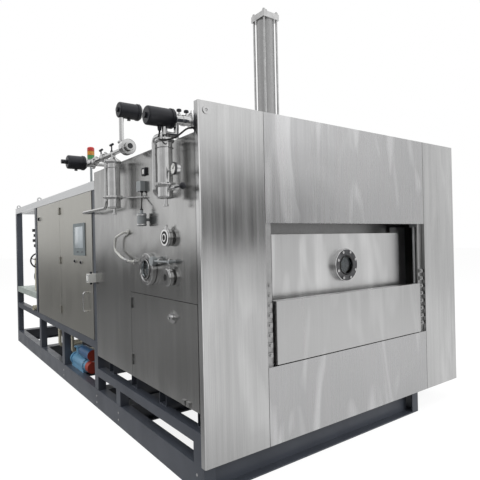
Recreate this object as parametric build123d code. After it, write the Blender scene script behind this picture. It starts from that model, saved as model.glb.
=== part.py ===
from build123d import *
import os
from math import radians, tan

# Production freeze dryer. All sizes in mm.
# Working coordinates: x to the right from the machine's left face, y back from the
# facade's front face, z up from the floor. save() moves every piece to the part's own
# origin, the centre of the floor anchor pattern.

os.makedirs("parts", exist_ok=True)

# ---- skid
skid_width = 2400
skid_length = 6240
skid_setback = 20
beam_height = 190
beam_flange = 90
beam_web = 10
beam_flange_thickness = 12
rail_width = 80
rail_height = 80
rail_wall = 6
chamber_rail_top = 410
cabinet_rail_top = 680
post_length = 100
middle_post_y = 1460
cabinet_post_y = 3280
bay_post_y = 4490
beam_width = 150
saddle_rows = (2600, 4000)
bearer_height = 130
bearer_width = 120
bearer_inset = 50
bearer_rows = (50, 640, 1190, 1740)
anchor_hole_radius = 11
anchor_end_distance = 400

# ---- facade
facade_width = 3078
facade_bottom = 190
facade_top = 2590
facade_depth = 50
sheet = 3
bend_radius = 10
corner_eye_inset = 61
corner_eye_length = 6
corner_eye_radius = 26
corner_eye_bore = 11
seam = 4
opening_bottom = 752
opening_top = 1793

# ---- front plate, slot and slot door
front_plate_y = 160
front_plate_thickness = 20
front_plate_margin = 32
front_plate_top = 1712
slot_half_width = 739
slot_bottom = 850
slot_top = 1130
slot_frame_wall = 40
slot_frame_front = 100
slot_door_overlap = 170
slot_door_bottom = 758
slot_door_top = 1223
slot_door_thickness = 60
door_sheet = 4
door_plate = 16
slot_door_travel = 540
gasket_thickness = 8
gasket_gap = 0.3
guide_strip_width = 70
guide_strip_y = 30
guide_strip_thickness = 14
guide_edge_gap = 4
guide_door_gap = 15
guide_rod_radius = 15
guide_rod_setback = 44
clamp_half_width = 24
clamp_block_height = 34
clamp_block_depth = 14
clamp_bolt_radius = 11
clamp_bolt_head = 8
guide_bracket_height = 30
guide_bracket_reach = 26
running_clearance = 0.05
lift_y = 200
lift_rod_radius = 12
lift_rod_overrun = 60
lift_barrel = 54
lift_flange = 84
lift_flange_thickness = 16
lift_fit = 0.5
mast_reach_in = 88
mast_reach_out = 64
mast_y = 232
mast_depth = 70
mast_top = 1770

# ---- chamber
chamber_wall = 12
chamber_half_width = 1087
chamber_front = 330
chamber_back = 1950
chamber_bottom = 600
chamber_top = 2200
rib_depth = 60
rib_thickness = 12
sight_tube_wall = 12
guide_post_width = 40
guide_post_length = 60
shelf_bracket_reach = 40
shelf_bracket_length = 40
shelf_bracket_height = 30
shelf_corner = 12
shelf_pipe_radius = 8
shelf_pipe_length = 300
shelf_half_width = 730
shelf_length = 1400
shelf_thickness = 18
shelf_count = 4
shelf_pitch = 150
lowest_shelf = 860
shoe_depth = 12
shoe_gap = 0.3
shoe_inset = 150
shoe_width = 40
stack_y = 1150
pressure_plate_thickness = 40
plate_rest = 1500
stopper_stroke = 120
plate_rib_offset = 260
plate_rib_half_width = 600
plate_rib_thickness = 20
plate_rib_height = 70
plate_boss_radius = 80
plate_boss_height = 60

# ---- hydraulic cylinder
barrel_radius = 92
barrel_bore = 80
cap_size = 210
cap_corner = 6
cap_thickness = 60
tie_rod_pitch = 166
tie_rod_radius = 11
tie_nut_height = 18
tie_nut_radius = 19
tie_rod_end = 28
cylinder_top = 4020
ram_radius = 35
piston_height = 60
piston_lift = 500
cylinder_seat_radius = 150
cylinder_seat_height = 20
oil_port_radius = 9
oil_port_depth = 85
lifting_boss_radius = 45
lifting_boss_height = 26
lifting_stud_radius = 24
lifting_stud_height = 40

# ---- condenser
condenser_x = 1500
condenser_z = 1380
condenser_radius = 600
condenser_wall = 10
condenser_front = 2200
condenser_back = 4450
duct_radius = 300
duct_wall = 10
duct_flange_margin = 40
duct_flange_thickness = 20
head_thickness = 16
saddle_half_width = 450
saddle_thickness = 80
saddle_fit = 0.3
valve_disc_radius = 340
valve_disc_thickness = 24
valve_travel = 250
valve_cylinder_radius = 80
valve_cylinder_bore = 70
valve_cylinder_cap = 14
valve_cap_radius = 95
stem_radius = 22
gland_length = 90
piston_thickness = 20
outlet_radius = 80
outlet_wall = 8
outlet_y = 4250
outlet_length = 110
outlet_flange_radius = 120
outlet_flange_thickness = 18
outlet_bolt_circle = 100
outlet_bolt_count = 8
outlet_hole_radius = 9
coil_radius = 480
coil_tube_radius = 16
coil_turns = 9
coil_first_offset = 620
coil_pitch = 170
coil_header = 24
coil_header_end = 40
coil_foot_width = 40
coil_foot_end = 10

# ---- cladding and cabinet
cladding_bottom = 540
cladding_top = 2385
cladding_back = 2050
cladding_fold = 30
access_top = 1254
access_back = 1160
panel_gap = 4
door_fold = 22
duct_hole_gap = 10
roof_hole_half = 160
post_hole_gap = 3
bracket_low = 40
bracket_high = 400
bracket_width = 80
roof_bracket_offset = 500
cabinet_front = 2156
cabinet_back = 4600
cabinet_depth = 500
cabinet_top = 2216
middle_post = 30
door_gap = 2
gear_plate_setback = 90
gear_margin = 80
gear_rows = 4
gear_columns = 9
gear_depth = 90
gear_width = 160
gear_height = 150
gear_pitch_y = 240
gear_pitch_z = 330
roof_rail_height = 90
post_head_gap = 30
gap_post_inset = 8
header_lift = 60
eye_radius = 32
eye_bore = 15
eye_thickness = 14
hinge_radius = 9
hinge_pin_radius = 5
hinge_inset = 10
hinge_length = 90
hinge_lift = 0.5
hinge_end_gap = 0.4
hinge_leaf_front = -4
hinge_leaf_back = -1
hinge_leaf_width = 3
door_leaf_thickness = 2.5
door_leaf_reach = 45
access_hinges = (640, 1120)
cabinet_hinges = (820, 1430, 2040)
latch_y = 400
latch_z = 1130
latch_shaft = 9
latch_dial = 44
latch_ring = 52
latch_bar = 80
latch_bar_width = 18
latch_bar_front = -30
latch_face = -9
latch_back = 25
latch_tongue = 60
catch_y = 180
catch_width = 40
catch_height = 34
lock_y = 4460
lock_z = 2040
lock_shaft = 8
lock_dial = 26
lock_bar = 48
lock_bar_width = 14
lock_bar_front = -24
lock_face = -8
lock_back = 17
lock_tongue = 45

# ---- fittings on the left wall
side_sight_y = 770
side_sight_z = 1465
side_sight_radius = 125
side_sight_bore = 82
side_flange_thickness = 34
flange_stand_off = 3
port_bore = 27
port_hole_gap = 3
port_neck = 12
port_flange_thickness = 22
port_cap_thickness = 12
port_cap_step = 14
side_bolt_circle = 104
side_bolt_head = 8
side_bolt_radius = 10
front_sight_z = 1440
front_sight_radius = 142
front_sight_bore = 88
front_flange_thickness = 40
glass_thickness = 12
glass_seat_depth = 14
glass_lip = 8
side_glass_depth = 10
bolt_count = 8
bolt_circle = 118
bolt_head_radius = 13
bolt_head_height = 9
upper_port_z = 1703
lower_port_z = 1419
port_y = 415
port_radius = 62
nozzle_wall = 4

gauge_x = -52
gauge_y = 790
gauge_z = 1850
gauge_height = 100
gauge_radius = 36
gauge_stem = 12
gauge_plug = 24
switch_size = 80
switch_z = 2080
lamp_offset = 150
lamp_lift = 66
lamp_neck = 30
lamp_neck_radius = 26
lamp_reach = 62
lamp_radius = 34
lamp_rod_x = -46
lamp_rod_radius = 8
lamp_foot_radius = 11
junction_margin = 10
junction_depth = 70
junction_width = 80
junction_height = 86
junction_z = 1280
cable_radius = 5
part_gap = 0.3
screen_y0 = 2370
screen_y1 = 2790
screen_z0 = 1545
screen_z1 = 1900
screen_front = 8
screen_lap = 12
screen_depth = 18
button_spots = ((2740, 1480), (2520, 1471))
button_radius = 15
button_head = 12
button_stem = 11
button_stem_length = 17
button_stop = 14
button_travel = 4
button_bezel = 19
button_bezel_thickness = 2
handle_y = 2330
handle_z = 960
handle_length = 200
handle_reach = 45
handle_radius = 8
handle_bend = 20

# ---- filters and pipework
pipe_radius = 19
pipe_wall = 2
thin_radius = 6
filter_x = -100
filter_front_y = 280
filter_rear_y = 1235
filter_radius = 52
filter_wall = 3
filter_joint_z = 2060
filter_top = 2352
cup_bottom = 1968
cartridge_radius = 34
filter_flange_radius = 60
filter_flange_height = 8
filter_head_plate = 10
filter_foot_round = 14
cup_socket = 60
drain_radius = 12
drain_length = 40
drain_cap_radius = 18
drain_cap_height = 12
ring_radius = 68
ring_height = 26
cartridge_rise = 20
cartridge_wall = 10
knob_stem = 6
knob_reach = 62
knob_ball_radius = 22
tap_radius = 11
tap_body_radius = 19
tap_body_length = 50
tap_socket = 30
tap_z = 2030
dial_radius = 40
dial_depth = 34
dial_stem = 9
dial_z = 2150
side_gear_y = 120
actuator_radius = 64
actuator_round = 14
actuator_collar = 20
actuator_collar_step = 5
actuator_boss_radius = 14
actuator_boss_length = 14
actuator_cap_radius = 20
valve_neck_radius = 34
valve_flange_radius = 56
valve_flange_thickness = 10
valve_end_radius = 46
valve_end_thickness = 14
front_line_z = 2520
front_link_z = 2410
front_return_y = 440
front_return_z = 2010
front_valve_length = 140
front_actuator_length = 200
front_actuator_cap = 14
front_valve_x = -36
front_drop_x = -8
front_drop_in = 330
rear_line_z = 2436
riser_y = 1045
riser_top = 2760
riser_valve_x = 56
riser_valve_length = 76
riser_actuator_length = 182
riser_drop_in = 300
header_front = 880
header_cap_radius = 30
header_cap_length = 120
header_ring_radius = 58
header_ring_length = 60
header_joint_radius = 38
header_joint_length = 30
header_joint_rows = (1460, 1700)
far_y = 1900
far_z = 2450
far_valve_x = -139
far_valve_length = 79
far_actuator_length = 164
far_actuator_cap = 52
far_drop_in = 120
line_bend = 60
drain_line_y = 1430
drain_line_radius = 14
drain_line_z = 1985
thin_line_z = 2056
thin_boss_radius = 14
sample_radius = 10
sample_boss_radius = 20
sample_boss_depth = 14
sample_upper = (1190, 1765)
sample_lower = (1060, 1512)
wall_button_y = 826
wall_button_z = 2232
wall_button_radius = 20
wall_button_depth = 16
hose_radius = 6
hose_fitting_radius = 11
hose_fitting_x = 32
hose_end_y = 92
hose_end_z = 2426

# ---- stack light
light_setback = 114
light_foot_height = 8
light_foot_radius = 34
light_pole_height = 220
light_pole_radius = 12
light_cup_height = 30
lens_radius = 37
lens_height = 42
lens_joint = 2
lens_dome = 16

# ---- rear bay
bay_post = 90
bay_setback = 60
bay_shelf_z = 950
deck_thickness = 8
compressor_x = 330
compressor_pitch = 920
compressor_setback = 260
compressor_length = 700
crank_height = 190
case_radius = 150
case_flange_radius = 176
case_flange_thickness = 40
foot_inset = 70
foot_length = 70
head_width = 130
head_height = 140
riser_pad = 165
riser_pad_setback = 580
riser_pad_length = 300
riser_pad_radius = 40
riser_bend_z = 1540
service_radius = 24
valve_x = 110
valve_y = 5180
valve_stack_z = 1640
valve_ring_pitch = 80
valve_ring_height = 44
valve_ring_radii = (44, 60, 46, 64)
stand_z = 1430
stand_half = 20
wheel_setback = 130
wheel_stem_radius = 12
wheel_stem_length = 90
wheel_radius = 110
rim_radius = 11
hub_radius = 26
hub_length = 26
spoke_radius = 6
spoke_count = 5
drop_pipes = ((200, 3650), (170, 4150), (260, 4300))
drop_pipe_radius = 22
drop_pipe_height = 60
drop_pipe_reach = 300
stub_setback = 150
stub_overhang = 20
stub_length = 420
stub_radius = 40

# ---- circulation pump
pump_x = 130
pump_y = 2700
pump_z = 272
pump_radius = 66
pump_length = 560
pump_flange_inset = 60
pump_flange_thickness = 40
pump_flange_radius = 78
pump_foot_half = 60
pump_port_offset = 430
pump_port_height = 164
pump_port_radius = 30
pump_port_flange = 14
pump_port_flange_radius = 52
motor_overhang = 90
motor_length = 330
motor_radius = 62
motor_foot_half = 40

centre_x = facade_width / 2
front_plate_half_width = slot_half_width + slot_frame_wall + front_plate_margin
slot_door_half_width = slot_half_width + slot_door_overlap
opening_half_width = slot_door_half_width + guide_door_gap + guide_strip_width + guide_edge_gap
column_width = centre_x - opening_half_width
skid_front = skid_setback
skid_back = skid_setback + skid_length
origin_shift = Pos(-skid_width / 2, -(skid_front + skid_back) / 2, 0)
written = []


def save(name, *solids):
    """Write one sub-part, moved to the part's origin."""
    shape = solids[0] if len(solids) == 1 else Compound(children=list(solids))
    export_step(origin_shift * shape, f"parts/{name}.step")
    written.append(name)


def block(x0, x1, y0, y1, z0, z1):
    """Box between two corners."""
    centre = Pos((x0 + x1) / 2, (y0 + y1) / 2, (z0 + z1) / 2)
    return centre * Box(abs(x1 - x0), abs(y1 - y0), abs(z1 - z0))


TURNS = {"x": Rot(0, 90, 0), "y": Rot(-90, 0, 0), "z": Rot(0, 0, 0)}


def rod(axis, x, y, z, length, radius):
    """Cylinder that starts at a point and runs along +axis."""
    turned = TURNS[axis] * (Pos(0, 0, length / 2) * Cylinder(radius, length))
    return Pos(x, y, z) * turned


def tube(axis, x, y, z, length, radius, bore):
    """Open tube that starts at a point and runs along +axis."""
    return rod(axis, x, y, z, length, radius) - rod(axis, x, y, z, length, bore)


def hexagon(axis, x, y, z, length, radius):
    """Hexagonal prism, such as a nut or a bolt head, along +axis."""
    prism = extrude(RegularPolygon(radius, 6), length)
    return Pos(x, y, z) * (TURNS[axis] * prism)


def hollow_beam(axis, x0, x1, y0, y1, z0, z1, wall=rail_wall):
    """Rectangular hollow section with open ends."""
    w = {"x": (0, wall, wall), "y": (wall, 0, wall), "z": (wall, wall, 0)}[axis]
    inner = block(x0 + w[0], x1 - w[0], y0 + w[1], y1 - w[1], z0 + w[2], z1 - w[2])
    return block(x0, x1, y0, y1, z0, z1) - inner


def pan(x0, x1, z0, z1, y0=0, depth=facade_depth):
    """Folded sheet pan facing the front, with returns on its four sides."""
    outer = block(x0, x1, y0, y0 + depth, z0, z1)
    inner = block(x0 + sheet, x1 - sheet, y0 + sheet, y0 + depth, z0 + sheet, z1 - sheet)
    return outer - inner


def side_pan(y0, y1, z0, z1, depth, x0=0):
    """Folded sheet pan facing the left, with returns on its four sides."""
    outer = block(x0, x0 + depth, y0, y1, z0, z1)
    inner = block(x0 + sheet, x0 + depth, y0 + sheet, y1 - sheet, z0 + sheet, z1 - sheet)
    return outer - inner


def pipe_run(points, radius, bends, wall=pipe_wall):
    """Tube along straight runs joined by tangent arcs."""
    path = FilletPolyline(*points, radius=bends) if len(points) > 2 else Line(*points)
    start = Plane(origin=path @ 0, z_dir=path % 0)
    section = Circle(radius) - Circle(radius - wall) if wall else Circle(radius)
    return sweep(start * section, path=path)


def cord(name, points, radius):
    """Round cord along hand-laid points, each bend as large as its two runs allow."""
    bends = []
    for before, here, after in zip(points, points[1:], points[2:]):
        run_in = Vector(*here) - Vector(*before)
        run_out = Vector(*after) - Vector(*here)
        half_turn = radians(run_in.get_angle(run_out)) / 2
        bends.append(0.45 * min(run_in.length, run_out.length) / tan(half_turn))
    print(name, "bend radii", [round(bend) for bend in bends])
    return pipe_run(points, radius, bends, 0)


# ======================================================================== skid
def side_channel(face_x, inward):
    """Channel with its web outward and a closing plate at each end."""
    x_web = face_x + inward * beam_web
    x_toe = face_x + inward * beam_flange
    beam = block(face_x, x_web, skid_front, skid_back, 0, beam_height)
    beam += block(face_x, x_toe, skid_front, skid_back, 0, beam_flange_thickness)
    top = beam_height - beam_flange_thickness
    beam += block(face_x, x_toe, skid_front, skid_back, top, beam_height)
    beam += block(face_x, x_toe, skid_front, skid_front + beam_web, 0, beam_height)
    beam += block(face_x, x_toe, skid_back - beam_web, skid_back, 0, beam_height)
    hole_x = face_x + inward * (beam_web + beam_flange) / 2
    for hole_y in anchor_rows:
        beam -= rod("z", hole_x, hole_y, -1, beam_flange_thickness + 2, anchor_hole_radius)
    return beam


def i_beam(y_centre, width):
    """Cross beam between the side channels."""
    x0, x1 = beam_flange, skid_width - beam_flange
    half = width / 2
    top = beam_height - beam_flange_thickness
    beam = block(x0, x1, y_centre - beam_web / 2, y_centre + beam_web / 2, 0, beam_height)
    beam += block(x0, x1, y_centre - half, y_centre + half, 0, beam_flange_thickness)
    beam += block(x0, x1, y_centre - half, y_centre + half, top, beam_height)
    return beam


anchor_rows = (
    skid_front + anchor_end_distance,
    (skid_front + skid_back) / 2,
    skid_back - anchor_end_distance,
)
step_y = cladding_back
post_rows_low = (facade_depth, middle_post_y)
post_rows_high = (step_y, cabinet_post_y, bay_post_y, skid_back - post_length)
cross_rows = (
    skid_front + beam_width / 2,
    post_rows_low[1] + post_length / 2,
    step_y + post_length / 2,
    post_rows_high[1] + post_length / 2,
    post_rows_high[2] + post_length / 2,
    skid_back - beam_width / 2,
)
save("skid_side_beams", side_channel(0, 1), side_channel(skid_width, -1))

rail_sides = ((0, rail_width), (skid_width - rail_width, skid_width))
low_rail = chamber_rail_top - rail_height
high_rail = cabinet_rail_top - rail_height
posts = []
rails = []
for x0, x1 in rail_sides:
    for y0 in post_rows_low:
        posts.append(hollow_beam("z", x0, x1, y0, y0 + post_length, beam_height, low_rail))
    for y0 in post_rows_high:
        posts.append(hollow_beam("z", x0, x1, y0, y0 + post_length, beam_height, high_rail))
    rails.append(hollow_beam("y", x0, x1, facade_depth, step_y, low_rail, chamber_rail_top))
    rails.append(hollow_beam("y", x0, x1, step_y, skid_back, high_rail, cabinet_rail_top))
save("skid_posts", *posts)

bearer_right = facade_width - bearer_inset
cross_members = [i_beam(y, beam_width) for y in cross_rows]
for y0 in bearer_rows:
    cross_members.append(
        hollow_beam("x", bearer_inset, bearer_right, y0, y0 + bearer_width,
                    chamber_rail_top, chamber_rail_top + bearer_height))
for y0 in saddle_rows:
    cross_members.append(
        hollow_beam("x", rail_width, skid_width - rail_width, y0, y0 + bearer_width,
                    high_rail, cabinet_rail_top))
    saddle_y = y0 + (bearer_width - saddle_thickness) / 2
    saddle = block(condenser_x - saddle_half_width, condenser_x + saddle_half_width,
                   saddle_y, saddle_y + saddle_thickness, cabinet_rail_top, condenser_z)
    saddle -= rod("y", condenser_x, y0, condenser_z, bearer_width,
                  condenser_radius + saddle_fit)
    cross_members += saddle.solids()
save("skid_cross_beams", *cross_members)

# shelf of the machine bay: two long rails, end rails on the posts and a deck plate
bay_front = cabinet_back + bay_setback
bay_back = skid_back - bay_post
for x0, x1 in rail_sides:
    rails.append(hollow_beam("y", x0, x1, bay_front + bay_post, bay_back,
                             bay_shelf_z - rail_height, bay_shelf_z))
deck = block(0, skid_width, bay_front + bay_post, bay_back,
             bay_shelf_z, bay_shelf_z + deck_thickness)
rails.append(deck)
save("skid_top_rails", *rails)

# ============================================================ posts and roof rails
roof_rail_bottom = cabinet_top + panel_gap
roof_rail_top = roof_rail_bottom + roof_rail_height
front_post_top = facade_top - post_head_gap
frame_posts = []
bearer_top = chamber_rail_top + bearer_height
for x0 in (bearer_inset, bearer_right - bay_post):
    frame_posts.append(hollow_beam("z", x0, x0 + bay_post, facade_depth, facade_depth + bay_post,
                                   bearer_top, front_post_top))
gap_post_y = cladding_back + panel_gap
gap_post_length = cabinet_front - panel_gap - gap_post_y
for x0 in (gap_post_inset, skid_width - gap_post_inset - bay_post):
    frame_posts.append(hollow_beam("z", x0, x0 + bay_post, gap_post_y,
                                   gap_post_y + gap_post_length,
                                   cabinet_rail_top, roof_rail_bottom))
for x0 in (0, skid_width - bay_post):
    for y0 in (bay_front, bay_back):
        frame_posts.append(hollow_beam("z", x0, x0 + bay_post, y0, y0 + bay_post,
                                       cabinet_rail_top, roof_rail_bottom))
# lower tie of the front posts, which carries the bottom panel
frame_posts.append(hollow_beam("x", bearer_inset, bearer_right, facade_depth,
                               facade_depth + bay_post, chamber_rail_top - bay_post,
                               chamber_rail_top)
                   - block(-1, rail_width, 0, facade_depth + bay_post + 1, 0, chamber_rail_top)
                   - block(skid_width - rail_width, skid_width, 0,
                           facade_depth + bay_post + 1, 0, chamber_rail_top))
header_bottom = opening_top + header_lift
frame_posts.append(hollow_beam("x", bearer_inset + bay_post, bearer_right - bay_post,
                               facade_depth, facade_depth + bay_post,
                               header_bottom, header_bottom + bay_post))
save("frame_posts", *frame_posts)

roof_rails = []
for x0 in (0, skid_width - bay_post):
    roof_rails.append(hollow_beam("y", x0, x0 + bay_post, gap_post_y, skid_back,
                                  roof_rail_bottom, roof_rail_top))
for y0 in (gap_post_y, cabinet_back, skid_back - bay_post):
    roof_rails.append(hollow_beam("x", bay_post, skid_width - bay_post, y0, y0 + bay_post,
                                  roof_rail_bottom, roof_rail_top))
for x0 in (bay_post / 2, skid_width - bay_post / 2):
    for y0 in (cabinet_back + bay_post / 2, skid_back - bay_post / 2):
        plate = block(x0 - eye_radius, x0 + eye_radius, y0 - eye_thickness / 2,
                      y0 + eye_thickness / 2, roof_rail_top, roof_rail_top + eye_radius)
        head = rod("y", x0, y0 - eye_thickness / 2, roof_rail_top + eye_radius,
                   eye_thickness, eye_radius)
        hole = rod("y", x0, y0 - eye_thickness, roof_rail_top + eye_radius,
                   2 * eye_thickness, eye_bore)
        roof_rails.append(plate + head - hole)
save("roof_rails", *roof_rails)

# ====================================================================== facade
column_right = facade_width - column_width


def column_pan(x0, x1, outer_x):
    """Full-height side column with a rounded outer corner."""
    outer = block(x0, x1, 0, facade_depth, facade_bottom, facade_top)
    corner = outer.edges().filter_by(Axis.Z).filter_by_position(Axis.Y, -0.1, 0.1)
    corner = corner.filter_by_position(Axis.X, outer_x - 0.1, outer_x + 0.1)
    outer = fillet(corner, bend_radius)
    inner = block(x0 + sheet, x1 - sheet, sheet, facade_depth,
                  facade_bottom + sheet, facade_top - sheet)
    inner_corner = inner.edges().filter_by(Axis.Z)
    inner_corner = inner_corner.filter_by_position(Axis.Y, sheet - 0.1, sheet + 0.1)
    inner_x = outer_x + sheet if outer_x == x0 else outer_x - sheet
    inner_corner = inner_corner.filter_by_position(Axis.X, inner_x - 0.1, inner_x + 0.1)
    return outer - fillet(inner_corner, bend_radius - sheet)


left_column = column_pan(0, column_width, 0)
left_column += tube("y", corner_eye_inset, -corner_eye_length, facade_top - corner_eye_inset,
                    corner_eye_length, corner_eye_radius, corner_eye_bore)
save("facade_left_column", left_column)
save("facade_right_column", column_pan(column_right, facade_width, facade_width))
centre_left = column_width + seam
centre_right = column_right - seam
save("facade_top_panel", pan(centre_left, centre_right, opening_top, facade_top))
save("facade_bottom_panel", pan(centre_left, centre_right, facade_bottom, opening_bottom))

# ================================================================= slot guides
strip_left = column_width + guide_edge_gap
strip_right = strip_left + guide_strip_width
strip_back = guide_strip_y + guide_strip_thickness
rod_y = strip_back + guide_rod_setback
rod_x = (strip_left + strip_right) / 2
rod_offset = centre_x - rod_x
clamp_count = 8
clamp_pitch = 72
clamp_first = slot_door_bottom + 60
strip_bottom = opening_bottom
strip_top = opening_top


def guide_set(mirror_side):
    """Guide strip with its clamp blocks, guide rod and the brackets behind it."""
    solid = block(strip_left, strip_right, guide_strip_y, strip_back, strip_bottom, strip_top)
    block_front = guide_strip_y - clamp_block_depth
    for i in range(clamp_count):
        z0 = clamp_first + i * clamp_pitch
        solid += block(rod_x - clamp_half_width, rod_x + clamp_half_width,
                       block_front, guide_strip_y, z0, z0 + clamp_block_height)
        solid += hexagon("y", rod_x, block_front - clamp_bolt_head,
                         z0 + clamp_block_height / 2, clamp_bolt_head, clamp_bolt_radius)
    for z0 in (strip_bottom, strip_top - guide_bracket_height):
        solid += block(strip_left, strip_right, strip_back, rod_y + guide_bracket_reach,
                       z0, z0 + guide_bracket_height)
    solid += rod("z", rod_x, rod_y, strip_bottom + 1, strip_top - strip_bottom - 2,
                 guide_rod_radius)
    if mirror_side:
        solid = Pos(2 * centre_x, 0, 0) * mirror(solid, Plane.YZ)
    return solid


guides = [guide_set(False), guide_set(True)]

# =================================================================== slot door
door_left = centre_x - slot_door_half_width
door_right = centre_x + slot_door_half_width
door_core_back = slot_frame_front - gasket_thickness - gasket_gap
door_edge_radius = 4
core_margin = 80
core_inset = 15
slot_door = block(door_left, door_right, 0, slot_door_thickness, slot_door_bottom, slot_door_top)
slot_door = fillet(slot_door.edges().filter_by_position(Axis.Y, -0.1, 0.1), door_edge_radius)
slot_door -= block(door_left + door_sheet, door_right - door_sheet, door_sheet,
                   slot_door_thickness - door_plate, slot_door_bottom - 1,
                   slot_door_top - door_sheet)
slot_door += block(door_left + core_margin, door_right - core_margin, slot_door_thickness,
                   door_core_back, slot_door_bottom + core_inset, slot_door_top - core_inset)
carriage_half = 22
carriage_bottom = slot_door_bottom + 90
carriage_length = 280
carriage_top = carriage_bottom + carriage_length
arm_front = rod_y - carriage_half
bush_bore = guide_rod_radius + running_clearance
lug_half_width = 20
lug_height = 30
lug_margin = 24
lug_bottom = carriage_top - lug_height
rod_length = slot_door_travel + lift_rod_overrun
for side in (-1, 1):
    x_rod = centre_x + side * rod_offset
    x_core = centre_x + side * (slot_door_half_width - core_margin)
    # arm from the door's core to its bush on the guide rod
    slot_door += block(x_rod, x_core, arm_front, door_core_back, carriage_bottom, carriage_top)
    slot_door += block(x_rod - carriage_half, x_rod + carriage_half, arm_front,
                       rod_y + carriage_half, carriage_bottom, carriage_top)
    # lug that the lift rod screws into
    slot_door += block(x_rod - lug_half_width, x_rod + lug_half_width, rod_y,
                       lift_y + lug_margin, lug_bottom, carriage_top)
    slot_door -= rod("z", x_rod, rod_y, carriage_bottom - 1, carriage_length + 2, bush_bore)
    slot_door += rod("z", x_rod, lift_y, lug_bottom - rod_length, rod_length, lift_rod_radius)
save("slot_door", slot_door)

lift_head_gap = 20
lift_head_top = lug_bottom - lift_head_gap
lift_end_gap = 10
lift_bore_bottom = lug_bottom - rod_length - lift_end_gap
lift_bottom = lift_bore_bottom - lift_end_gap
foot_thickness = 20
foot_top = bearer_top + foot_thickness
half = lift_barrel / 2
flange_half = lift_flange / 2
flange_back = lift_y + half
lifts = []
for side in (-1, 1):
    x_lift = centre_x + side * rod_offset
    # barrel hung through the foot plate, on its own flange
    body = block(x_lift - half, x_lift + half, lift_y - half, lift_y + half,
                 lift_bottom, lift_head_top)
    body = fillet(body.edges().filter_by(Axis.Z), 8)
    body += block(x_lift - flange_half, x_lift + flange_half, lift_y - flange_half, flange_back,
                  foot_top, foot_top + lift_flange_thickness)
    body -= rod("z", x_lift, lift_y, lift_bore_bottom, lift_head_top - lift_bore_bottom + 1,
                lift_rod_radius + running_clearance)
    lifts.append(body)
    x0, x1 = sorted((centre_x + side * (rod_offset - mast_reach_in),
                     centre_x + side * (rod_offset + mast_reach_out)))
    mast = hollow_beam("z", x0, x1, mast_y, mast_y + mast_depth, foot_top, mast_top)
    foot = block(x0, x1, bearer_rows[0], mast_y + mast_depth, bearer_top, foot_top)
    foot -= block(x_lift - half - lift_fit, x_lift + half + lift_fit,
                  lift_y - half - lift_fit, lift_y + half + lift_fit, bearer_top - 1, foot_top + 1)
    guides.append(mast + foot)
save("lift_cylinders", *lifts)
save("slot_guides", *guides)

# ========================================================== chamber front plate
plate_left = centre_x - front_plate_half_width
plate_right = centre_x + front_plate_half_width
plate_bottom = foot_top
plate = block(plate_left, plate_right, front_plate_y, chamber_front, plate_bottom, front_plate_top)
inside = front_plate_y + front_plate_thickness
plate -= block(plate_left + front_plate_thickness, plate_right - front_plate_thickness,
               inside, chamber_front, plate_bottom + front_plate_thickness,
               front_plate_top - front_plate_thickness)
slot_left = centre_x - slot_half_width
slot_right = centre_x + slot_half_width
plate += block(slot_left - slot_frame_wall, slot_right + slot_frame_wall, slot_frame_front,
               chamber_front, slot_bottom - slot_frame_wall, slot_top + slot_frame_wall)
plate -= block(slot_left, slot_right, slot_frame_front - 1, chamber_front + 1,
               slot_bottom, slot_top)
plate += rod("y", centre_x, front_plate_y, front_sight_z, chamber_front - front_plate_y,
             front_sight_bore + sight_tube_wall)
plate -= rod("y", centre_x, front_plate_y - 1, front_sight_z, chamber_front, front_sight_bore)
save("chamber_front_plate", plate)

gasket = block(slot_left - slot_frame_wall, slot_right + slot_frame_wall,
               slot_frame_front - gasket_thickness, slot_frame_front,
               slot_bottom - slot_frame_wall, slot_top + slot_frame_wall)
gasket -= block(slot_left, slot_right, 0, slot_frame_front + 1, slot_bottom, slot_top)
save("slot_gasket", gasket)

# =============================================================== chamber shell
shell_left = centre_x - chamber_half_width
shell_right = centre_x + chamber_half_width
shell = block(shell_left, shell_right, chamber_front, chamber_back, chamber_bottom, chamber_top)
shell -= block(shell_left + chamber_wall, shell_right - chamber_wall,
               chamber_front + chamber_wall, chamber_back - chamber_wall,
               chamber_bottom + chamber_wall, chamber_top - chamber_wall)
rib_rows = [chamber_front]
for y0 in bearer_rows[1:]:
    rib_rows.append(y0 + (bearer_width - rib_thickness) / 2)
rib_rows.append(chamber_back - rib_thickness)
for y0 in rib_rows:
    ring = block(shell_left - rib_depth, shell_right + rib_depth, y0, y0 + rib_thickness,
                 chamber_bottom - rib_depth, chamber_top + rib_depth)
    ring -= block(shell_left, shell_right, y0 - 1, y0 + rib_thickness + 1,
                  chamber_bottom, chamber_top)
    shell += ring
shell -= block(slot_left, slot_right, chamber_front - 1, chamber_front + chamber_wall + 1,
               slot_bottom, slot_top)
shell -= rod("y", centre_x, chamber_front - 1, front_sight_z, chamber_wall + 2, front_sight_bore)
duct_flange = duct_radius + duct_flange_margin
shell += rod("y", condenser_x, chamber_back, condenser_z, duct_flange_thickness, duct_flange)
shell -= rod("y", condenser_x, chamber_back - chamber_wall - 1, condenser_z,
             chamber_wall + duct_flange_thickness + 2, duct_radius)
ram_bush = ram_radius + running_clearance
mount_top = chamber_top + rib_depth + cylinder_seat_height
shell += rod("z", centre_x, stack_y, chamber_top - 1, mount_top - chamber_top + 1,
             cylinder_seat_radius)
shell -= rod("z", centre_x, stack_y, chamber_top - chamber_wall - 1,
             mount_top - chamber_top + chamber_wall + 2, ram_bush)
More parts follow.
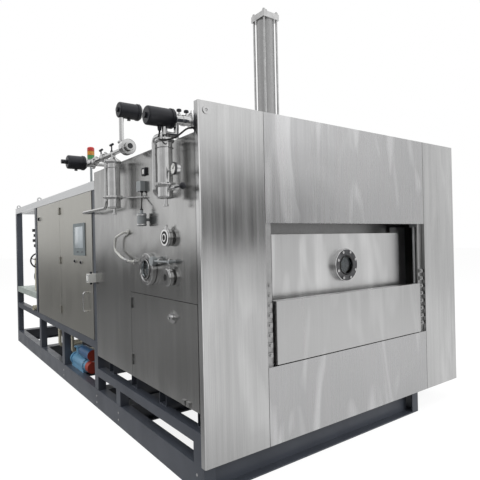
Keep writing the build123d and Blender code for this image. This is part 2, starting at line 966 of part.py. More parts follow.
# shelf guide posts down both side walls
post_face = shelf_half_width + shoe_depth + shoe_gap
for side in (-1, 1):
    for dy in (-1, 1):
        x0, x1 = sorted((centre_x + side * post_face,
                         centre_x + side * (post_face + guide_post_width)))
        y_mid = stack_y + dy * (shelf_length / 2 - shoe_inset)
        shell += block(x0, x1, y_mid - guide_post_length / 2, y_mid + guide_post_length / 2,
                       chamber_bottom + chamber_wall, chamber_top - chamber_wall)
# holes for the nozzles of the left wall
for y0, z0, bore in ((side_sight_y, side_sight_z, side_sight_bore),
                     (port_y, upper_port_z, port_bore), (port_y, lower_port_z, port_bore)):
    shell -= rod("x", shell_left - rib_depth - 1, y0, z0, rib_depth + 1, bore + nozzle_wall + 1)
    shell -= rod("x", shell_left - 1, y0, z0, chamber_wall + 2, bore)
save("chamber_shell", shell)

# ==================================================================== shelves
def guide_shoes(z0, height):
    """Four shoes at the sides of a shelf, which slide on the chamber's guide posts."""
    shoes = []
    for side in (-1, 1):
        for dy in (-1, 1):
            x0, x1 = sorted((centre_x + side * (shelf_half_width - 1),
                             centre_x + side * (shelf_half_width + shoe_depth)))
            y_mid = stack_y + dy * (shelf_length / 2 - shoe_inset)
            shoes.append(block(x0, x1, y_mid - shoe_width / 2, y_mid + shoe_width / 2,
                               z0, z0 + height))
    return shoes


def shelf_brackets():
    """Four brackets on the guide posts, under the fixed bottom shelf."""
    brackets = []
    for side in (-1, 1):
        for dy in (-1, 1):
            x0, x1 = sorted((centre_x + side * (shelf_half_width - shelf_bracket_reach),
                             centre_x + side * post_face))
            y_mid = stack_y + dy * (shelf_length / 2 - shoe_inset)
            brackets.append(block(x0, x1, y_mid - shelf_bracket_length / 2,
                                  y_mid + shelf_bracket_length / 2,
                                  lowest_shelf - shelf_bracket_height, lowest_shelf))
    return brackets


for i in range(shelf_count):
    z0 = lowest_shelf + i * shelf_pitch
    slab = block(centre_x - shelf_half_width, centre_x + shelf_half_width,
                 stack_y - shelf_length / 2, stack_y + shelf_length / 2,
                 z0, z0 + shelf_thickness)
    slab = fillet(slab.edges().filter_by(Axis.Z), shelf_corner)
    for side in (-1, 1):
        # fluid header along the back edge
        slab += rod("x", centre_x + side * shelf_pipe_length - shelf_pipe_length / 2,
                    stack_y + shelf_length / 2, z0 + shelf_thickness / 2,
                    shelf_pipe_length, shelf_pipe_radius)
    brackets = shelf_brackets() if i == 0 else []
    save(f"shelf_{i + 1}", slab + guide_shoes(z0, shelf_thickness), *brackets)

press = block(centre_x - shelf_half_width, centre_x + shelf_half_width,
              stack_y - shelf_length / 2, stack_y + shelf_length / 2,
              plate_rest, plate_rest + pressure_plate_thickness)
press = fillet(press.edges().filter_by(Axis.Z), shelf_corner)
plate_top = plate_rest + pressure_plate_thickness
for dy in (-1, 1):
    y_rib = stack_y + dy * plate_rib_offset
    press += block(centre_x - plate_rib_half_width, centre_x + plate_rib_half_width,
                   y_rib - plate_rib_thickness / 2, y_rib + plate_rib_thickness / 2,
                   plate_top, plate_top + plate_rib_height)
press += rod("z", centre_x, stack_y, plate_top, plate_boss_height, plate_boss_radius)
save("pressure_plate", press + guide_shoes(plate_rest, pressure_plate_thickness))

ram_foot = plate_top + plate_boss_height
piston_z = mount_top + cap_thickness + stopper_stroke + piston_lift
ram = rod("z", centre_x, stack_y, ram_foot, piston_z - ram_foot, ram_radius)
ram += rod("z", centre_x, stack_y, piston_z, piston_height, barrel_bore - running_clearance)
save("ram_rod", ram)

# ========================================================== hydraulic cylinder
barrel_bottom = mount_top + cap_thickness
barrel_top = cylinder_top - cap_thickness
save("cylinder_barrel", tube("z", centre_x, stack_y, barrel_bottom,
                             barrel_top - barrel_bottom, barrel_radius, barrel_bore))
half_cap = cap_size / 2
rod_hole = tie_rod_radius + running_clearance
caps = []
for z0, through in ((mount_top, True), (barrel_top, False)):
    cap = block(centre_x - half_cap, centre_x + half_cap, stack_y - half_cap,
                stack_y + half_cap, z0, z0 + cap_thickness)
    cap = fillet(cap.edges().filter_by(Axis.Z), cap_corner)
    for sx in (-1, 1):
        for sy in (-1, 1):
            cap -= rod("z", centre_x + sx * tie_rod_pitch / 2, stack_y + sy * tie_rod_pitch / 2,
                       z0 - 1, cap_thickness + 2, rod_hole)
    port_z = z0 + cap_thickness / 2
    cap -= rod("x", centre_x + half_cap - oil_port_depth, stack_y, port_z,
               oil_port_depth + 1, oil_port_radius)
    if through:
        cap -= rod("z", centre_x, stack_y, z0 - 1, cap_thickness + 2, ram_bush)
    else:
        cap += rod("z", centre_x, stack_y, z0 + cap_thickness, lifting_boss_height,
                   lifting_boss_radius)
        cap += rod("z", centre_x, stack_y, z0 + cap_thickness + lifting_boss_height,
                   lifting_stud_height, lifting_stud_radius)
    caps.append(cap)
save("cylinder_end_caps", *caps)

ties = []
tie_bottom = mount_top + 1
for sx in (-1, 1):
    for sy in (-1, 1):
        x_tie = centre_x + sx * tie_rod_pitch / 2
        y_tie = stack_y + sy * tie_rod_pitch / 2
        tie = rod("z", x_tie, y_tie, tie_bottom, cylinder_top + tie_rod_end - tie_bottom,
                  tie_rod_radius)
        tie += hexagon("z", x_tie, y_tie, cylinder_top, tie_nut_height, tie_nut_radius)
        ties.append(tie)
save("cylinder_tie_rods", *ties)

# =================================================================== condenser
duct_start = chamber_back + duct_flange_thickness
vessel = tube("y", condenser_x, condenser_front, condenser_z, condenser_back - condenser_front,
              condenser_radius, condenser_radius - condenser_wall)
vessel += tube("y", condenser_x, condenser_front, condenser_z, head_thickness,
               condenser_radius, duct_radius)
vessel += rod("y", condenser_x, condenser_back - head_thickness, condenser_z, head_thickness,
              condenser_radius)
vessel += tube("y", condenser_x, duct_start, condenser_z, condenser_front - duct_start,
               duct_radius + duct_wall, duct_radius)
vessel += tube("y", condenser_x, duct_start, condenser_z, duct_flange_thickness,
               duct_flange, duct_radius)
stem_bore = stem_radius + running_clearance
gland_end = condenser_back + gland_length
vessel += rod("y", condenser_x, condenser_back, condenser_z, gland_length, valve_cylinder_radius)
vessel -= rod("y", condenser_x, condenser_back - head_thickness - 1, condenser_z,
              gland_length + head_thickness + 2, stem_bore)
valve_cylinder_length = valve_travel + gland_length
vessel += tube("y", condenser_x, gland_end, condenser_z, valve_cylinder_length,
               valve_cylinder_radius, valve_cylinder_bore)
vessel += rod("y", condenser_x, gland_end + valve_cylinder_length, condenser_z,
              valve_cylinder_cap, valve_cap_radius)
outlet_z = condenser_z + condenser_radius
outlet_top = outlet_z + outlet_length
inner_radius = condenser_radius - condenser_wall
outlet_root = condenser_z + (inner_radius ** 2 - outlet_radius ** 2) ** 0.5
vessel += rod("z", condenser_x, outlet_y, outlet_root + 1, outlet_top - outlet_root - 1,
              outlet_radius)
vessel += rod("z", condenser_x, outlet_y, outlet_top - outlet_flange_thickness,
              outlet_flange_thickness, outlet_flange_radius)
vessel -= rod("z", condenser_x, outlet_y, outlet_root - outlet_radius,
              outlet_top - outlet_root + outlet_radius + 1, outlet_radius - outlet_wall)
for i in range(outlet_bolt_count):
    turn = Rot(0, 0, 360 * (i + 0.5) / outlet_bolt_count)
    spot = (Pos(condenser_x, outlet_y, 0) * turn * Pos(outlet_bolt_circle, 0, 0)).position
    vessel -= rod("z", spot.X, spot.Y, outlet_top - outlet_flange_thickness - 1,
                  outlet_flange_thickness + 2, outlet_hole_radius)
save("condenser_vessel", vessel)

coil_first = condenser_front + coil_first_offset
coil_length = (coil_turns - 1) * coil_pitch
coils = []
for i in range(coil_turns):
    ring = Pos(condenser_x, coil_first + i * coil_pitch, condenser_z) * (
        Rot(90, 0, 0) * Torus(coil_radius, coil_tube_radius))
    coils.append(ring)
coil = coils[0]
for ring in coils[1:]:
    coil += ring
half_header = coil_header / 2
for side in (-1, 1):
    header_x = condenser_x + side * (coil_radius + coil_tube_radius / 2)
    coil += block(header_x - half_header, header_x + half_header, coil_first - coil_header_end,
                  coil_first + coil_length + coil_header_end,
                  condenser_z - half_header, condenser_z + half_header)
half_foot = coil_foot_width / 2
foot_z = condenser_z - (inner_radius ** 2 - half_foot ** 2) ** 0.5 + 0.1
coil += block(condenser_x - half_foot, condenser_x + half_foot, coil_first - coil_foot_end,
              coil_first + coil_length + coil_foot_end, foot_z, condenser_z - coil_radius)
save("condenser_coil", coil)

disc_y = condenser_front + head_thickness + 1
piston_back = gland_end + 2 * piston_thickness
disc = rod("y", condenser_x, disc_y, condenser_z, valve_disc_thickness, valve_disc_radius)
disc += rod("y", condenser_x, disc_y, condenser_z, piston_back - disc_y, stem_radius)
disc += rod("y", condenser_x, piston_back - piston_thickness, condenser_z, piston_thickness,
            valve_cylinder_bore - running_clearance)
save("isolation_valve_disc", disc)

# ============================================================ cladding, left side
clad_front = facade_depth + panel_gap
cladding = side_pan(clad_front, cladding_back, cladding_bottom, cladding_top, cladding_fold)
notch_back = access_back + panel_gap
notch_top = access_top + panel_gap
cladding -= block(-1, cladding_fold + 1, clad_front - 1, notch_back, cladding_bottom - 1, notch_top)
cladding += block(0, cladding_fold, clad_front, notch_back + sheet, notch_top, notch_top + sheet)
cladding += block(0, cladding_fold, notch_back, notch_back + sheet, cladding_bottom, notch_top)
port_holes = (
    (side_sight_y, side_sight_z, side_sight_bore),
    (port_y, upper_port_z, port_bore),
    (port_y, lower_port_z, port_bore),
)
for y0, z0, bore in port_holes:
    cladding -= rod("x", -1, y0, z0, cladding_fold + 2, bore + nozzle_wall + port_hole_gap)

hinge_x = -hinge_radius - hinge_lift


def fixed_hinge(y_pin, z0, y_leaf, x_leaf_end):
    """Fixed knuckles with their pin, on a leaf that runs to y_leaf."""
    third = hinge_length / 3
    part = rod("z", hinge_x, y_pin, z0, third, hinge_radius)
    part += rod("z", hinge_x, y_pin, z0 + 2 * third, third, hinge_radius)
    part += rod("z", hinge_x, y_pin, z0, hinge_length, hinge_pin_radius)
    y0, y1 = sorted((y_pin, y_leaf))
    for z_leaf in (z0, z0 + 2 * third):
        part += block(hinge_leaf_front, hinge_leaf_back, y0, y1, z_leaf, z_leaf + third)
    part += block(hinge_leaf_front, x_leaf_end, y_leaf - hinge_leaf_width / 2,
                  y_leaf + hinge_leaf_width / 2, z0, z0 + hinge_length)
    return part


def moving_hinge(y_pin, z0, y_leaf):
    """Middle knuckle on a leaf that lies on the door's face."""
    third = hinge_length / 3
    z1 = z0 + third + hinge_end_gap
    z2 = z0 + 2 * third - hinge_end_gap
    part = rod("z", hinge_x, y_pin, z1, z2 - z1, hinge_radius)
    y0, y1 = sorted((y_pin, y_leaf))
    part += block(-door_leaf_thickness, 0, y0, y1, z1, z2)
    part -= rod("z", hinge_x, y_pin, z0, hinge_length, hinge_pin_radius + running_clearance)
    return part


access_pin_y = access_back - hinge_inset
for z0 in access_hinges:
    cladding += fixed_hinge(access_pin_y, z0, notch_back + hinge_leaf_width / 2, 2 * sheet)
save("left_cladding", cladding)

access_front = clad_front + panel_gap
access_door = side_pan(access_front, access_back, cladding_bottom, access_top, door_fold)
for z0 in access_hinges:
    access_door += moving_hinge(access_pin_y, z0, access_pin_y - door_leaf_reach)
access_door -= rod("x", -1, latch_y, latch_z, sheet + 2, latch_shaft + running_clearance)
access_door += tube("x", -sheet, latch_y, latch_z, sheet, latch_ring, latch_dial + 2)
# two lifting tabs at the door's lower edge
for i in range(2):
    tab_y = catch_y + i * 1.5 * catch_width
    access_door += block(-4 * sheet, 0, tab_y, tab_y + catch_width,
                         cladding_bottom + 2 * sheet, cladding_bottom + 2 * sheet + catch_height)
save("access_door", access_door)


def turn_latch(y0, z0, dial, bar_y, bar_z, bar_front, face, shaft, back, tongue):
    """Disc with a grip bar in front of a door and a tongue behind its skin."""
    part = rod("x", face, y0, z0, -face - part_gap, dial)
    part += block(bar_front, face, y0 - bar_y / 2, y0 + bar_y / 2, z0 - bar_z / 2, z0 + bar_z / 2)
    part += rod("x", face, y0, z0, back - face, shaft)
    part += block(back - 2 * sheet, back, y0 - shaft - sheet, y0 + shaft + sheet,
                  z0 - tongue, z0 + shaft + sheet)
    return part


save("access_latch", turn_latch(latch_y, latch_z, latch_dial, latch_bar, latch_bar_width,
                                latch_bar_front, latch_face, latch_shaft, latch_back,
                                latch_tongue))

# plain panels: right side, rear bulkhead and roof of the chamber section
panels = [
    block(facade_width - sheet, facade_width, clad_front, cladding_back,
          cladding_bottom, cladding_top),
    block(sheet, facade_width - sheet, cladding_back - 2 * sheet, cladding_back - sheet,
          cladding_bottom + sheet, cladding_top - sheet)
    - rod("y", condenser_x, cladding_back - 3 * sheet, condenser_z, 3 * sheet,
          duct_flange + duct_hole_gap),
]
roof = block(0, facade_width, clad_front, cladding_back, cladding_top, cladding_top + sheet)
roof -= block(centre_x - roof_hole_half, centre_x + roof_hole_half, stack_y - roof_hole_half,
              stack_y + roof_hole_half, cladding_top - 1, cladding_top + sheet + 1)
for x0 in (bearer_inset, bearer_right - bay_post):
    roof -= block(x0 - post_hole_gap, x0 + bay_post + post_hole_gap, 0,
                  facade_depth + bay_post + post_hole_gap,
                  cladding_top - 1, cladding_top + sheet + 1)
panels.append(roof)
# the right wall, the left wall and the roof are carried by brackets from the chamber's ribs
for y0 in rib_rows[::2]:
    y1 = y0 + rib_thickness
    low = cladding_bottom + bracket_low
    high = cladding_top - bracket_high
    panels.append(block(shell_right + rib_depth, facade_width - sheet, y0, y1,
                        low, low + bracket_width))
    panels.append(block(sheet, shell_left - rib_depth, y0, y1, high, high + bracket_width))
    panels.append(block(centre_x - roof_bracket_offset,
                        centre_x - roof_bracket_offset + bracket_width, y0, y1,
                        chamber_top + rib_depth, cladding_top))
save("outer_panels", *panels)

# ============================================================== side fittings
flange_x = -side_flange_thickness - flange_stand_off
ports = []
sight = tube("x", flange_x, side_sight_y, side_sight_z, side_flange_thickness,
             side_sight_radius, side_sight_bore)
sight = fillet(sight.edges().filter_by(GeomType.CIRCLE).sort_by(Axis.X)[0:1], 3)
sight += tube("x", -flange_stand_off - 1, side_sight_y, side_sight_z,
              shell_left + flange_stand_off + 1, side_sight_bore + nozzle_wall, side_sight_bore)
ports.append(sight)
port_cap_x = -port_neck - port_flange_thickness
for z0 in (upper_port_z, lower_port_z):
    port = tube("x", -port_neck, port_y, z0, shell_left + port_neck, port_bore + nozzle_wall,
                port_bore)
    port += rod("x", port_cap_x, port_y, z0, port_flange_thickness, port_radius)
    port += rod("x", port_cap_x - port_cap_thickness, port_y, z0, port_cap_thickness,
                port_radius - port_cap_step)
    ports.append(port)
save("wall_ports", *ports)

front_flange_y = front_plate_y - front_flange_thickness
front_flange = tube("y", centre_x, front_flange_y, front_sight_z, front_flange_thickness,
                    front_sight_radius, front_sight_bore)
front_flange = fillet(front_flange.edges().filter_by(GeomType.CIRCLE).sort_by(Axis.Y)[0:1], 3)
glass_seat = front_sight_bore + glass_lip
glass_y = front_flange_y + glass_seat_depth
front_flange -= rod("y", centre_x, glass_y, front_sight_z, glass_thickness, glass_seat)
sight_bolts = []
for i in range(bolt_count):
    angle = 360 * (i + 0.5) / bolt_count
    spot = (Pos(centre_x, 0, front_sight_z) * Rot(0, angle, 0) * Pos(bolt_circle, 0, 0)).position
    sight_bolts.append(hexagon("y", spot.X, front_flange_y - bolt_head_height, spot.Z,
                               bolt_head_height, bolt_head_radius))
    spot = (Pos(0, side_sight_y, side_sight_z) * Rot(angle, 0, 0)
            * Pos(0, side_bolt_circle, 0)).position
    sight_bolts.append(hexagon("x", flange_x - side_bolt_head, spot.Y, spot.Z,
                               side_bolt_head, side_bolt_radius))
save("front_sight_flange", front_flange)
save("sight_glass_bolts", *sight_bolts)
save("sight_glass_panes",
     rod("y", centre_x, glass_y, front_sight_z, glass_thickness, glass_seat),
     rod("x", flange_x + side_glass_depth, side_sight_y, side_sight_z, glass_thickness,
         side_sight_bore))

gauge = rod("z", gauge_x, gauge_y, gauge_z - gauge_height / 2, gauge_height, gauge_radius)
gauge = fillet(gauge.edges().filter_by(GeomType.CIRCLE), 5)
gauge += rod("x", gauge_x, gauge_y, gauge_z, -gauge_x, gauge_stem)
gauge_top = gauge_z + gauge_height / 2 + gauge_plug
gauge += rod("z", gauge_x, gauge_y, gauge_top - gauge_plug - 1, gauge_plug + 1, gauge_stem)
switch_y = gauge_y + switch_size / 2
switch = block(-switch_size / 2, 0, switch_y, switch_y + switch_size,
               switch_z, switch_z + switch_size)
# lamp on the sight glass, on a bracket rod from the wall beside the ports
lamp_y = side_sight_y - lamp_offset
lamp_z = side_sight_z + lamp_lift
lamp_foot_y = port_y - port_radius
lamp = rod("x", -lamp_neck, lamp_y, lamp_z, lamp_neck, lamp_neck_radius)
lamp += rod("x", -lamp_reach, lamp_y, lamp_z, lamp_reach - lamp_neck + 1, lamp_radius)
lamp += rod("y", lamp_rod_x, lamp_foot_y, lamp_z, lamp_y - lamp_foot_y, lamp_rod_radius)
lamp += rod("x", lamp_rod_x - lamp_foot_radius, lamp_foot_y, lamp_z,
            lamp_foot_radius - lamp_rod_x, lamp_foot_radius)
junction_y = gap_post_y + junction_margin
junction = block(-junction_depth, gap_post_inset, junction_y, junction_y + junction_width,
                 junction_z, junction_z + junction_height)
save("wall_instruments", gauge, switch, lamp, junction)

cable_points = [
    (gauge_x + 32, gauge_y + 60, switch_z - part_gap),
    (gauge_x + 32, gauge_y + 60, switch_z - 30),
    (gauge_x + 28, gauge_y + 52, switch_z - 58),
    (gauge_x + 17, gauge_y + 33, switch_z - 88),
    (gauge_x + 5, gauge_y + 8, gauge_top + 44),
    (gauge_x, gauge_y, gauge_top + 22),
    (gauge_x, gauge_y, gauge_top + part_gap),
]
save("gauge_cable", cord("gauge cable", cable_points, cable_radius))

# =============================================================== cabinet
cabinet_middle = (cabinet_front + cabinet_back) / 2
shell_x = door_fold + sheet
cabinet = block(shell_x, cabinet_depth, cabinet_front, cabinet_back, cabinet_rail_top, cabinet_top)
cabinet -= block(shell_x - 1, cabinet_depth - sheet, cabinet_front + sheet, cabinet_back - sheet,
                 cabinet_rail_top + sheet, cabinet_top - sheet)
cabinet += block(shell_x, shell_x + middle_post, cabinet_middle - middle_post / 2,
                 cabinet_middle + middle_post / 2, cabinet_rail_top, cabinet_top)
front_pin_y = cabinet_middle - door_gap - hinge_inset
rear_pin_y = cabinet_middle + door_gap + hinge_inset
for z0 in cabinet_hinges:
    for y_pin in (front_pin_y, rear_pin_y):
        cabinet += fixed_hinge(y_pin, z0, cabinet_middle, shell_x + 2)
# mounting plate with rows of control gear
gear_x = cabinet_depth - gear_plate_setback
cabinet += block(gear_x, gear_x + sheet, cabinet_front + gear_margin, cabinet_back - gear_margin,
                 cabinet_rail_top + sheet, cabinet_top - gear_margin)
gear_first_y = cabinet_front + 2 * gear_margin
gear_first_z = cabinet_rail_top + gear_height
for row in range(gear_rows):
    for column in range(gear_columns):
        y0 = gear_first_y + column * gear_pitch_y
        z0 = gear_first_z + row * gear_pitch_z
        cabinet += block(gear_x - gear_depth, gear_x, y0, y0 + gear_width, z0, z0 + gear_height)
save("cabinet_shell", cabinet)

door_z0 = cabinet_rail_top + door_gap
front_door = side_pan(cabinet_front, cabinet_middle - door_gap, door_z0, cabinet_top, door_fold)
rear_door = side_pan(cabinet_middle + door_gap, cabinet_back, door_z0, cabinet_top, door_fold)
for z0 in cabinet_hinges:
    front_door += moving_hinge(front_pin_y, z0, front_pin_y - door_leaf_reach)
    rear_door += moving_hinge(rear_pin_y, z0, rear_pin_y + door_leaf_reach)
front_door -= block(-1, sheet + 1, screen_y0 + screen_lap, screen_y1 - screen_lap,
                    screen_z0 + screen_lap, screen_z1 - screen_lap)
button_bore = button_stem + running_clearance
for y0, z0 in button_spots:
    front_door += tube("x", -button_bezel_thickness, y0, z0, button_bezel_thickness,
                       button_bezel, button_bore)
    front_door -= rod("x", -button_bezel_thickness, y0, z0, 2 * sheet, button_bore)
front_door += pipe_run([(0, handle_y, handle_z), (-handle_reach, handle_y, handle_z),
                        (-handle_reach, handle_y, handle_z + handle_length),
                        (0, handle_y, handle_z + handle_length)],
                       handle_radius, (handle_bend, handle_bend), 0)
save("cabinet_front_door", front_door)

rear_door -= rod("x", -1, lock_y, lock_z, sheet + 2, lock_shaft + running_clearance)
save("cabinet_rear_door", rear_door)
save("cabinet_lock", turn_latch(lock_y, lock_z, lock_dial, lock_bar_width, lock_bar,
                                lock_bar_front, lock_face, lock_shaft, lock_back, lock_tongue))

screen = block(-screen_front, 0, screen_y0, screen_y1, screen_z0, screen_z1)
screen = fillet(screen.edges().filter_by(Axis.X), screen_lap)
inner_lap = screen_lap + 1
screen += block(0, screen_depth, screen_y0 + inner_lap, screen_y1 - inner_lap,
                screen_z0 + inner_lap, screen_z1 - inner_lap)
save("hmi_screen", screen)
head_back = -button_bezel_thickness - button_travel - 2
for name, (y0, z0) in zip(("start_button", "stop_button"), button_spots):
    button = rod("x", head_back - button_head, y0, z0, button_head, button_radius)
    button = fillet(button.edges().filter_by(GeomType.CIRCLE).sort_by(Axis.X)[0:1], 3)
    button += rod("x", head_back - 1, y0, z0, button_stem_length, button_stem)
    button += rod("x", sheet + part_gap, y0, z0, button_travel, button_stop)
    save(name, button)

# ================================================================= stack light
light_x = bay_post / 2
light_y = cabinet_front + light_setback
base = rod("z", light_x, light_y, roof_rail_top, light_foot_height, light_foot_radius)
base += rod("z", light_x, light_y, roof_rail_top, light_pole_height, light_pole_radius)
lens_bottom = roof_rail_top + light_pole_height + light_cup_height
base += rod("z", light_x, light_y, lens_bottom - light_cup_height - 1, light_cup_height + 1,
            lens_radius)
save("stack_light_base", base)
for i, name in enumerate(("stack_light_green", "stack_light_amber", "stack_light_red")):
    z0 = lens_bottom + i * (lens_height + lens_joint)
    lens = rod("z", light_x, light_y, z0, lens_height, lens_radius)
    if i < 2:
        lens += rod("z", light_x, light_y, z0 + lens_height, lens_joint, lens_radius - 5)
    else:
        lens = fillet(lens.edges().filter_by(GeomType.CIRCLE).sort_by(Axis.Z)[-1:], lens_dome)
    save(name, lens)

# ============================================================== filter housings
shells = []
cartridges = []
filter_bore = filter_radius - filter_wall
flange_bottom = filter_joint_z + part_gap
cup_floor = filter_joint_z - cup_socket
pipe_bore = pipe_radius - pipe_wall
for y0 in (filter_front_y, filter_rear_y):
    upper = tube("z", filter_x, y0, flange_bottom, filter_top - flange_bottom,
                 filter_radius, filter_bore)
    upper += tube("z", filter_x, y0, flange_bottom, filter_flange_height,
                  filter_flange_radius, filter_bore)
    upper += tube("z", filter_x, y0, filter_top, filter_head_plate, filter_flange_radius, pipe_bore)
    cup = rod("z", filter_x, y0, cup_bottom, filter_joint_z - cup_bottom, filter_radius)
    cup = fillet(cup.edges().filter_by(GeomType.CIRCLE).sort_by(Axis.Z)[0:1], filter_foot_round)
    cup += rod("z", filter_x, y0, filter_joint_z - filter_flange_height, filter_flange_height,
               filter_flange_radius)
    cup -= rod("z", filter_x, y0, cup_floor, cup_socket + 1, filter_bore)
    cup += rod("z", filter_x, y0, cup_bottom - drain_length, drain_length + 1, drain_radius)
    cup += rod("z", filter_x, y0, cup_bottom - drain_length - drain_cap_height,
               drain_cap_height, drain_cap_radius)
    ring = tube("z", filter_x, y0, filter_joint_z - ring_height / 2, ring_height, ring_radius,
                filter_flange_radius + running_clearance)
    shells += [upper, cup, ring]
    cartridges.append(tube("z", filter_x, y0, cup_floor + part_gap,
                           filter_top - filter_joint_z + cartridge_rise,
                           cartridge_radius, cartridge_radius - cartridge_wall))
save("filter_shells", *shells)
save("filter_cartridges", *cartridges)

# ==================================================================== pipework
pipes = []
head_z = filter_top + filter_head_plate
roof_top = cladding_top + sheet


def valve_end(x0, y0, z0, length):
    """Valve body along x, with the actuator's flange first and the line's flange last."""
    body = rod("x", x0, y0, z0, length, valve_neck_radius)
    body += rod("x", x0, y0, z0, valve_flange_thickness, valve_flange_radius)
    body += rod("x", x0 + length, y0, z0, valve_end_thickness, valve_end_radius)
    return body


def roof_drop(x0, y0, z0, x1, bend):
    """Line from a valve's last flange, over the roof and down onto it."""
    return pipe_run([(x0, y0, z0), (x1, y0, z0), (x1, y0, roof_top)], pipe_radius, bend)


# front line: filter head, side pipe and clamp valve, then over the roof and down onto it
front_y = filter_front_y
head_end = front_line_z - actuator_radius
front_line = rod("z", filter_x, front_y, head_z, head_end - head_z, pipe_radius)
front_line += rod("x", filter_x, front_y, front_link_z, front_drop_x - filter_x, pipe_radius)
front_line += rod("z", front_drop_x, front_y, front_link_z - pipe_radius,
                  front_line_z - front_link_z + pipe_radius, pipe_radius)
front_line += valve_end(front_valve_x, front_y, front_line_z, front_valve_length)
front_line += pipe_run([(0, front_return_y, front_return_z),
                        (filter_x, front_return_y, front_return_z),
                        (filter_x, front_return_y, front_link_z),
                        (filter_x, front_y, front_link_z)],
                       pipe_radius, (2 * pipe_radius, 2 * pipe_radius))
front_line -= rod("z", filter_x, front_y, head_z - 1, front_link_z - head_z, pipe_bore)
pipes.append(front_line)
pipes.append(roof_drop(front_valve_x + front_valve_length + valve_end_thickness,
                       front_y, front_line_z, front_drop_in, line_bend))
# rear line: one header with the filter's head, the riser, the far valve and the drain line
riser_end = riser_top - actuator_radius
rear_line = rod("y", filter_x, header_front, rear_line_z, far_y - header_front, pipe_radius)
rear_line += rod("z", filter_x, filter_rear_y, head_z, rear_line_z - head_z, pipe_radius)
rear_line += rod("z", filter_x, riser_y, rear_line_z, riser_end - rear_line_z, pipe_radius)
rear_line += rod("y", filter_x, header_front, rear_line_z, header_cap_length, header_cap_radius)
rear_line += rod("y", filter_x, header_front + pipe_radius, rear_line_z, header_ring_length,
                 header_ring_radius)
rear_line += valve_end(far_valve_x, far_y, far_z, far_valve_length)
for y0 in header_joint_rows:
    rear_line += rod("y", filter_x, y0, rear_line_z, header_joint_length, header_joint_radius)
rear_line -= rod("z", filter_x, filter_rear_y, head_z - 1, rear_line_z - head_z, pipe_bore)
pipes.append(rear_line)
# the drain line hangs under the header and ends on the post between chamber and cabinet
post_middle = gap_post_y + gap_post_length / 2
pipes.append(pipe_run([(filter_x, drain_line_y, rear_line_z - pipe_radius),
                       (filter_x, drain_line_y, drain_line_z),
                       (filter_x, post_middle, drain_line_z),
                       (gap_post_inset, post_middle, drain_line_z)],
                      drain_line_radius, (line_bend, line_bend / 2)))
pipes.append(valve_end(riser_valve_x, riser_y, riser_top, riser_valve_length))
pipes.append(roof_drop(riser_valve_x + riser_valve_length + valve_end_thickness,
                       riser_y, riser_top, riser_drop_in, line_bend))
pipes.append(roof_drop(far_valve_x + far_valve_length + valve_end_thickness + part_gap,
                       far_y, far_z, far_drop_in, 2 * pipe_radius))
# thin lines: one from the rear filter's ring to a wall boss, and the curved sample tube
thin_start = ring_radius + thin_radius / 2
thin_y = gauge_y + gauge_radius
thin = pipe_run([(filter_x + 0.5 * thin_start, filter_rear_y - 0.866 * thin_start, thin_line_z),
                 (-switch_size / 2, thin_y + 2 * thin_start, thin_line_z - 16),
                 (-switch_size / 2, thin_y, thin_line_z - 26),
                 (-thin_boss_radius / 2, thin_y, thin_line_z - 26)],
                thin_radius, (line_bend, 20), 0)
thin += rod("x", -thin_boss_radius, thin_y, thin_line_z - 26, thin_boss_radius, thin_boss_radius)
pipes.append(thin)
upper_y, upper_z = sample_upper
lower_y, lower_z = sample_lower
sample = pipe_run([(-sample_boss_depth / 2, upper_y, upper_z), (-40, upper_y + 20, upper_z - 5),
                   (-44, upper_y + 190, upper_z - 45), (-44, upper_y + 215, upper_z - 155),
                   (-44, lower_y + 190, lower_z + 38), (-44, lower_y + 30, lower_z + 8),
                   (-sample_boss_depth / 2, lower_y, lower_z)],
                  sample_radius, (12, line_bend, 55, line_bend, 12), 0)
for y0, z0 in (sample_upper, sample_lower):
    sample += rod("x", -sample_boss_depth, y0, z0, sample_boss_depth, sample_boss_radius)
pipes.append(sample)
# gauge and sampling valve beside the front filter
filter_skin_y = filter_front_y - filter_radius
dial = rod("x", filter_x + 10 - dial_depth, side_gear_y, dial_z, dial_depth, dial_radius)
dial += rod("y", filter_x, side_gear_y, dial_z, filter_skin_y - side_gear_y, dial_stem)
pipes.append(dial)
tap = rod("y", filter_x, side_gear_y, tap_z, filter_skin_y - side_gear_y, tap_radius)
tap += rod("y", filter_x, side_gear_y, tap_z, tap_body_length, tap_body_radius)
tap -= rod("y", filter_x, side_gear_y - 1, tap_z, tap_socket + 1, knob_stem + running_clearance)
pipes.append(tap)
# button boss high on the wall, and the fitting that takes the air hose
pipes.append(rod("x", -wall_button_depth, wall_button_y, wall_button_z, wall_button_depth,
                 wall_button_radius))
pipes.append(rod("x", hose_fitting_x, hose_end_y, hose_end_z, bearer_inset - hose_fitting_x,
                 hose_fitting_radius))
save("pipe_manifold", *pipes)

knob = rod("y", filter_x, side_gear_y - knob_reach, tap_z, knob_reach + tap_socket - 2, knob_stem)
knob += Pos(filter_x, side_gear_y - knob_reach - knob_ball_radius + knob_stem, tap_z) * Sphere(
    knob_ball_radius)
save("sampling_valve_knob", knob)


def actuator(x1, length, y0, z0, cap):
    """Dark valve actuator along x that ends at its valve, with a cap at the outer end."""
    x0 = x1 - length
    body = rod("x", x0, y0, z0, length, actuator_radius)
    body = fillet(body.edges().filter_by(GeomType.CIRCLE).sort_by(Axis.X)[0:1], actuator_round)
    body += rod("x", x1 - 1.3 * actuator_collar, y0, z0, actuator_collar,
                actuator_radius + actuator_collar_step)
    body += rod("x", x0 - cap, y0, z0, cap + actuator_round, actuator_cap_radius)
    body += rod("z", x1 - length / 2, y0, z0 - actuator_radius - actuator_boss_length,
                2 * actuator_boss_length, actuator_boss_radius)
    return body


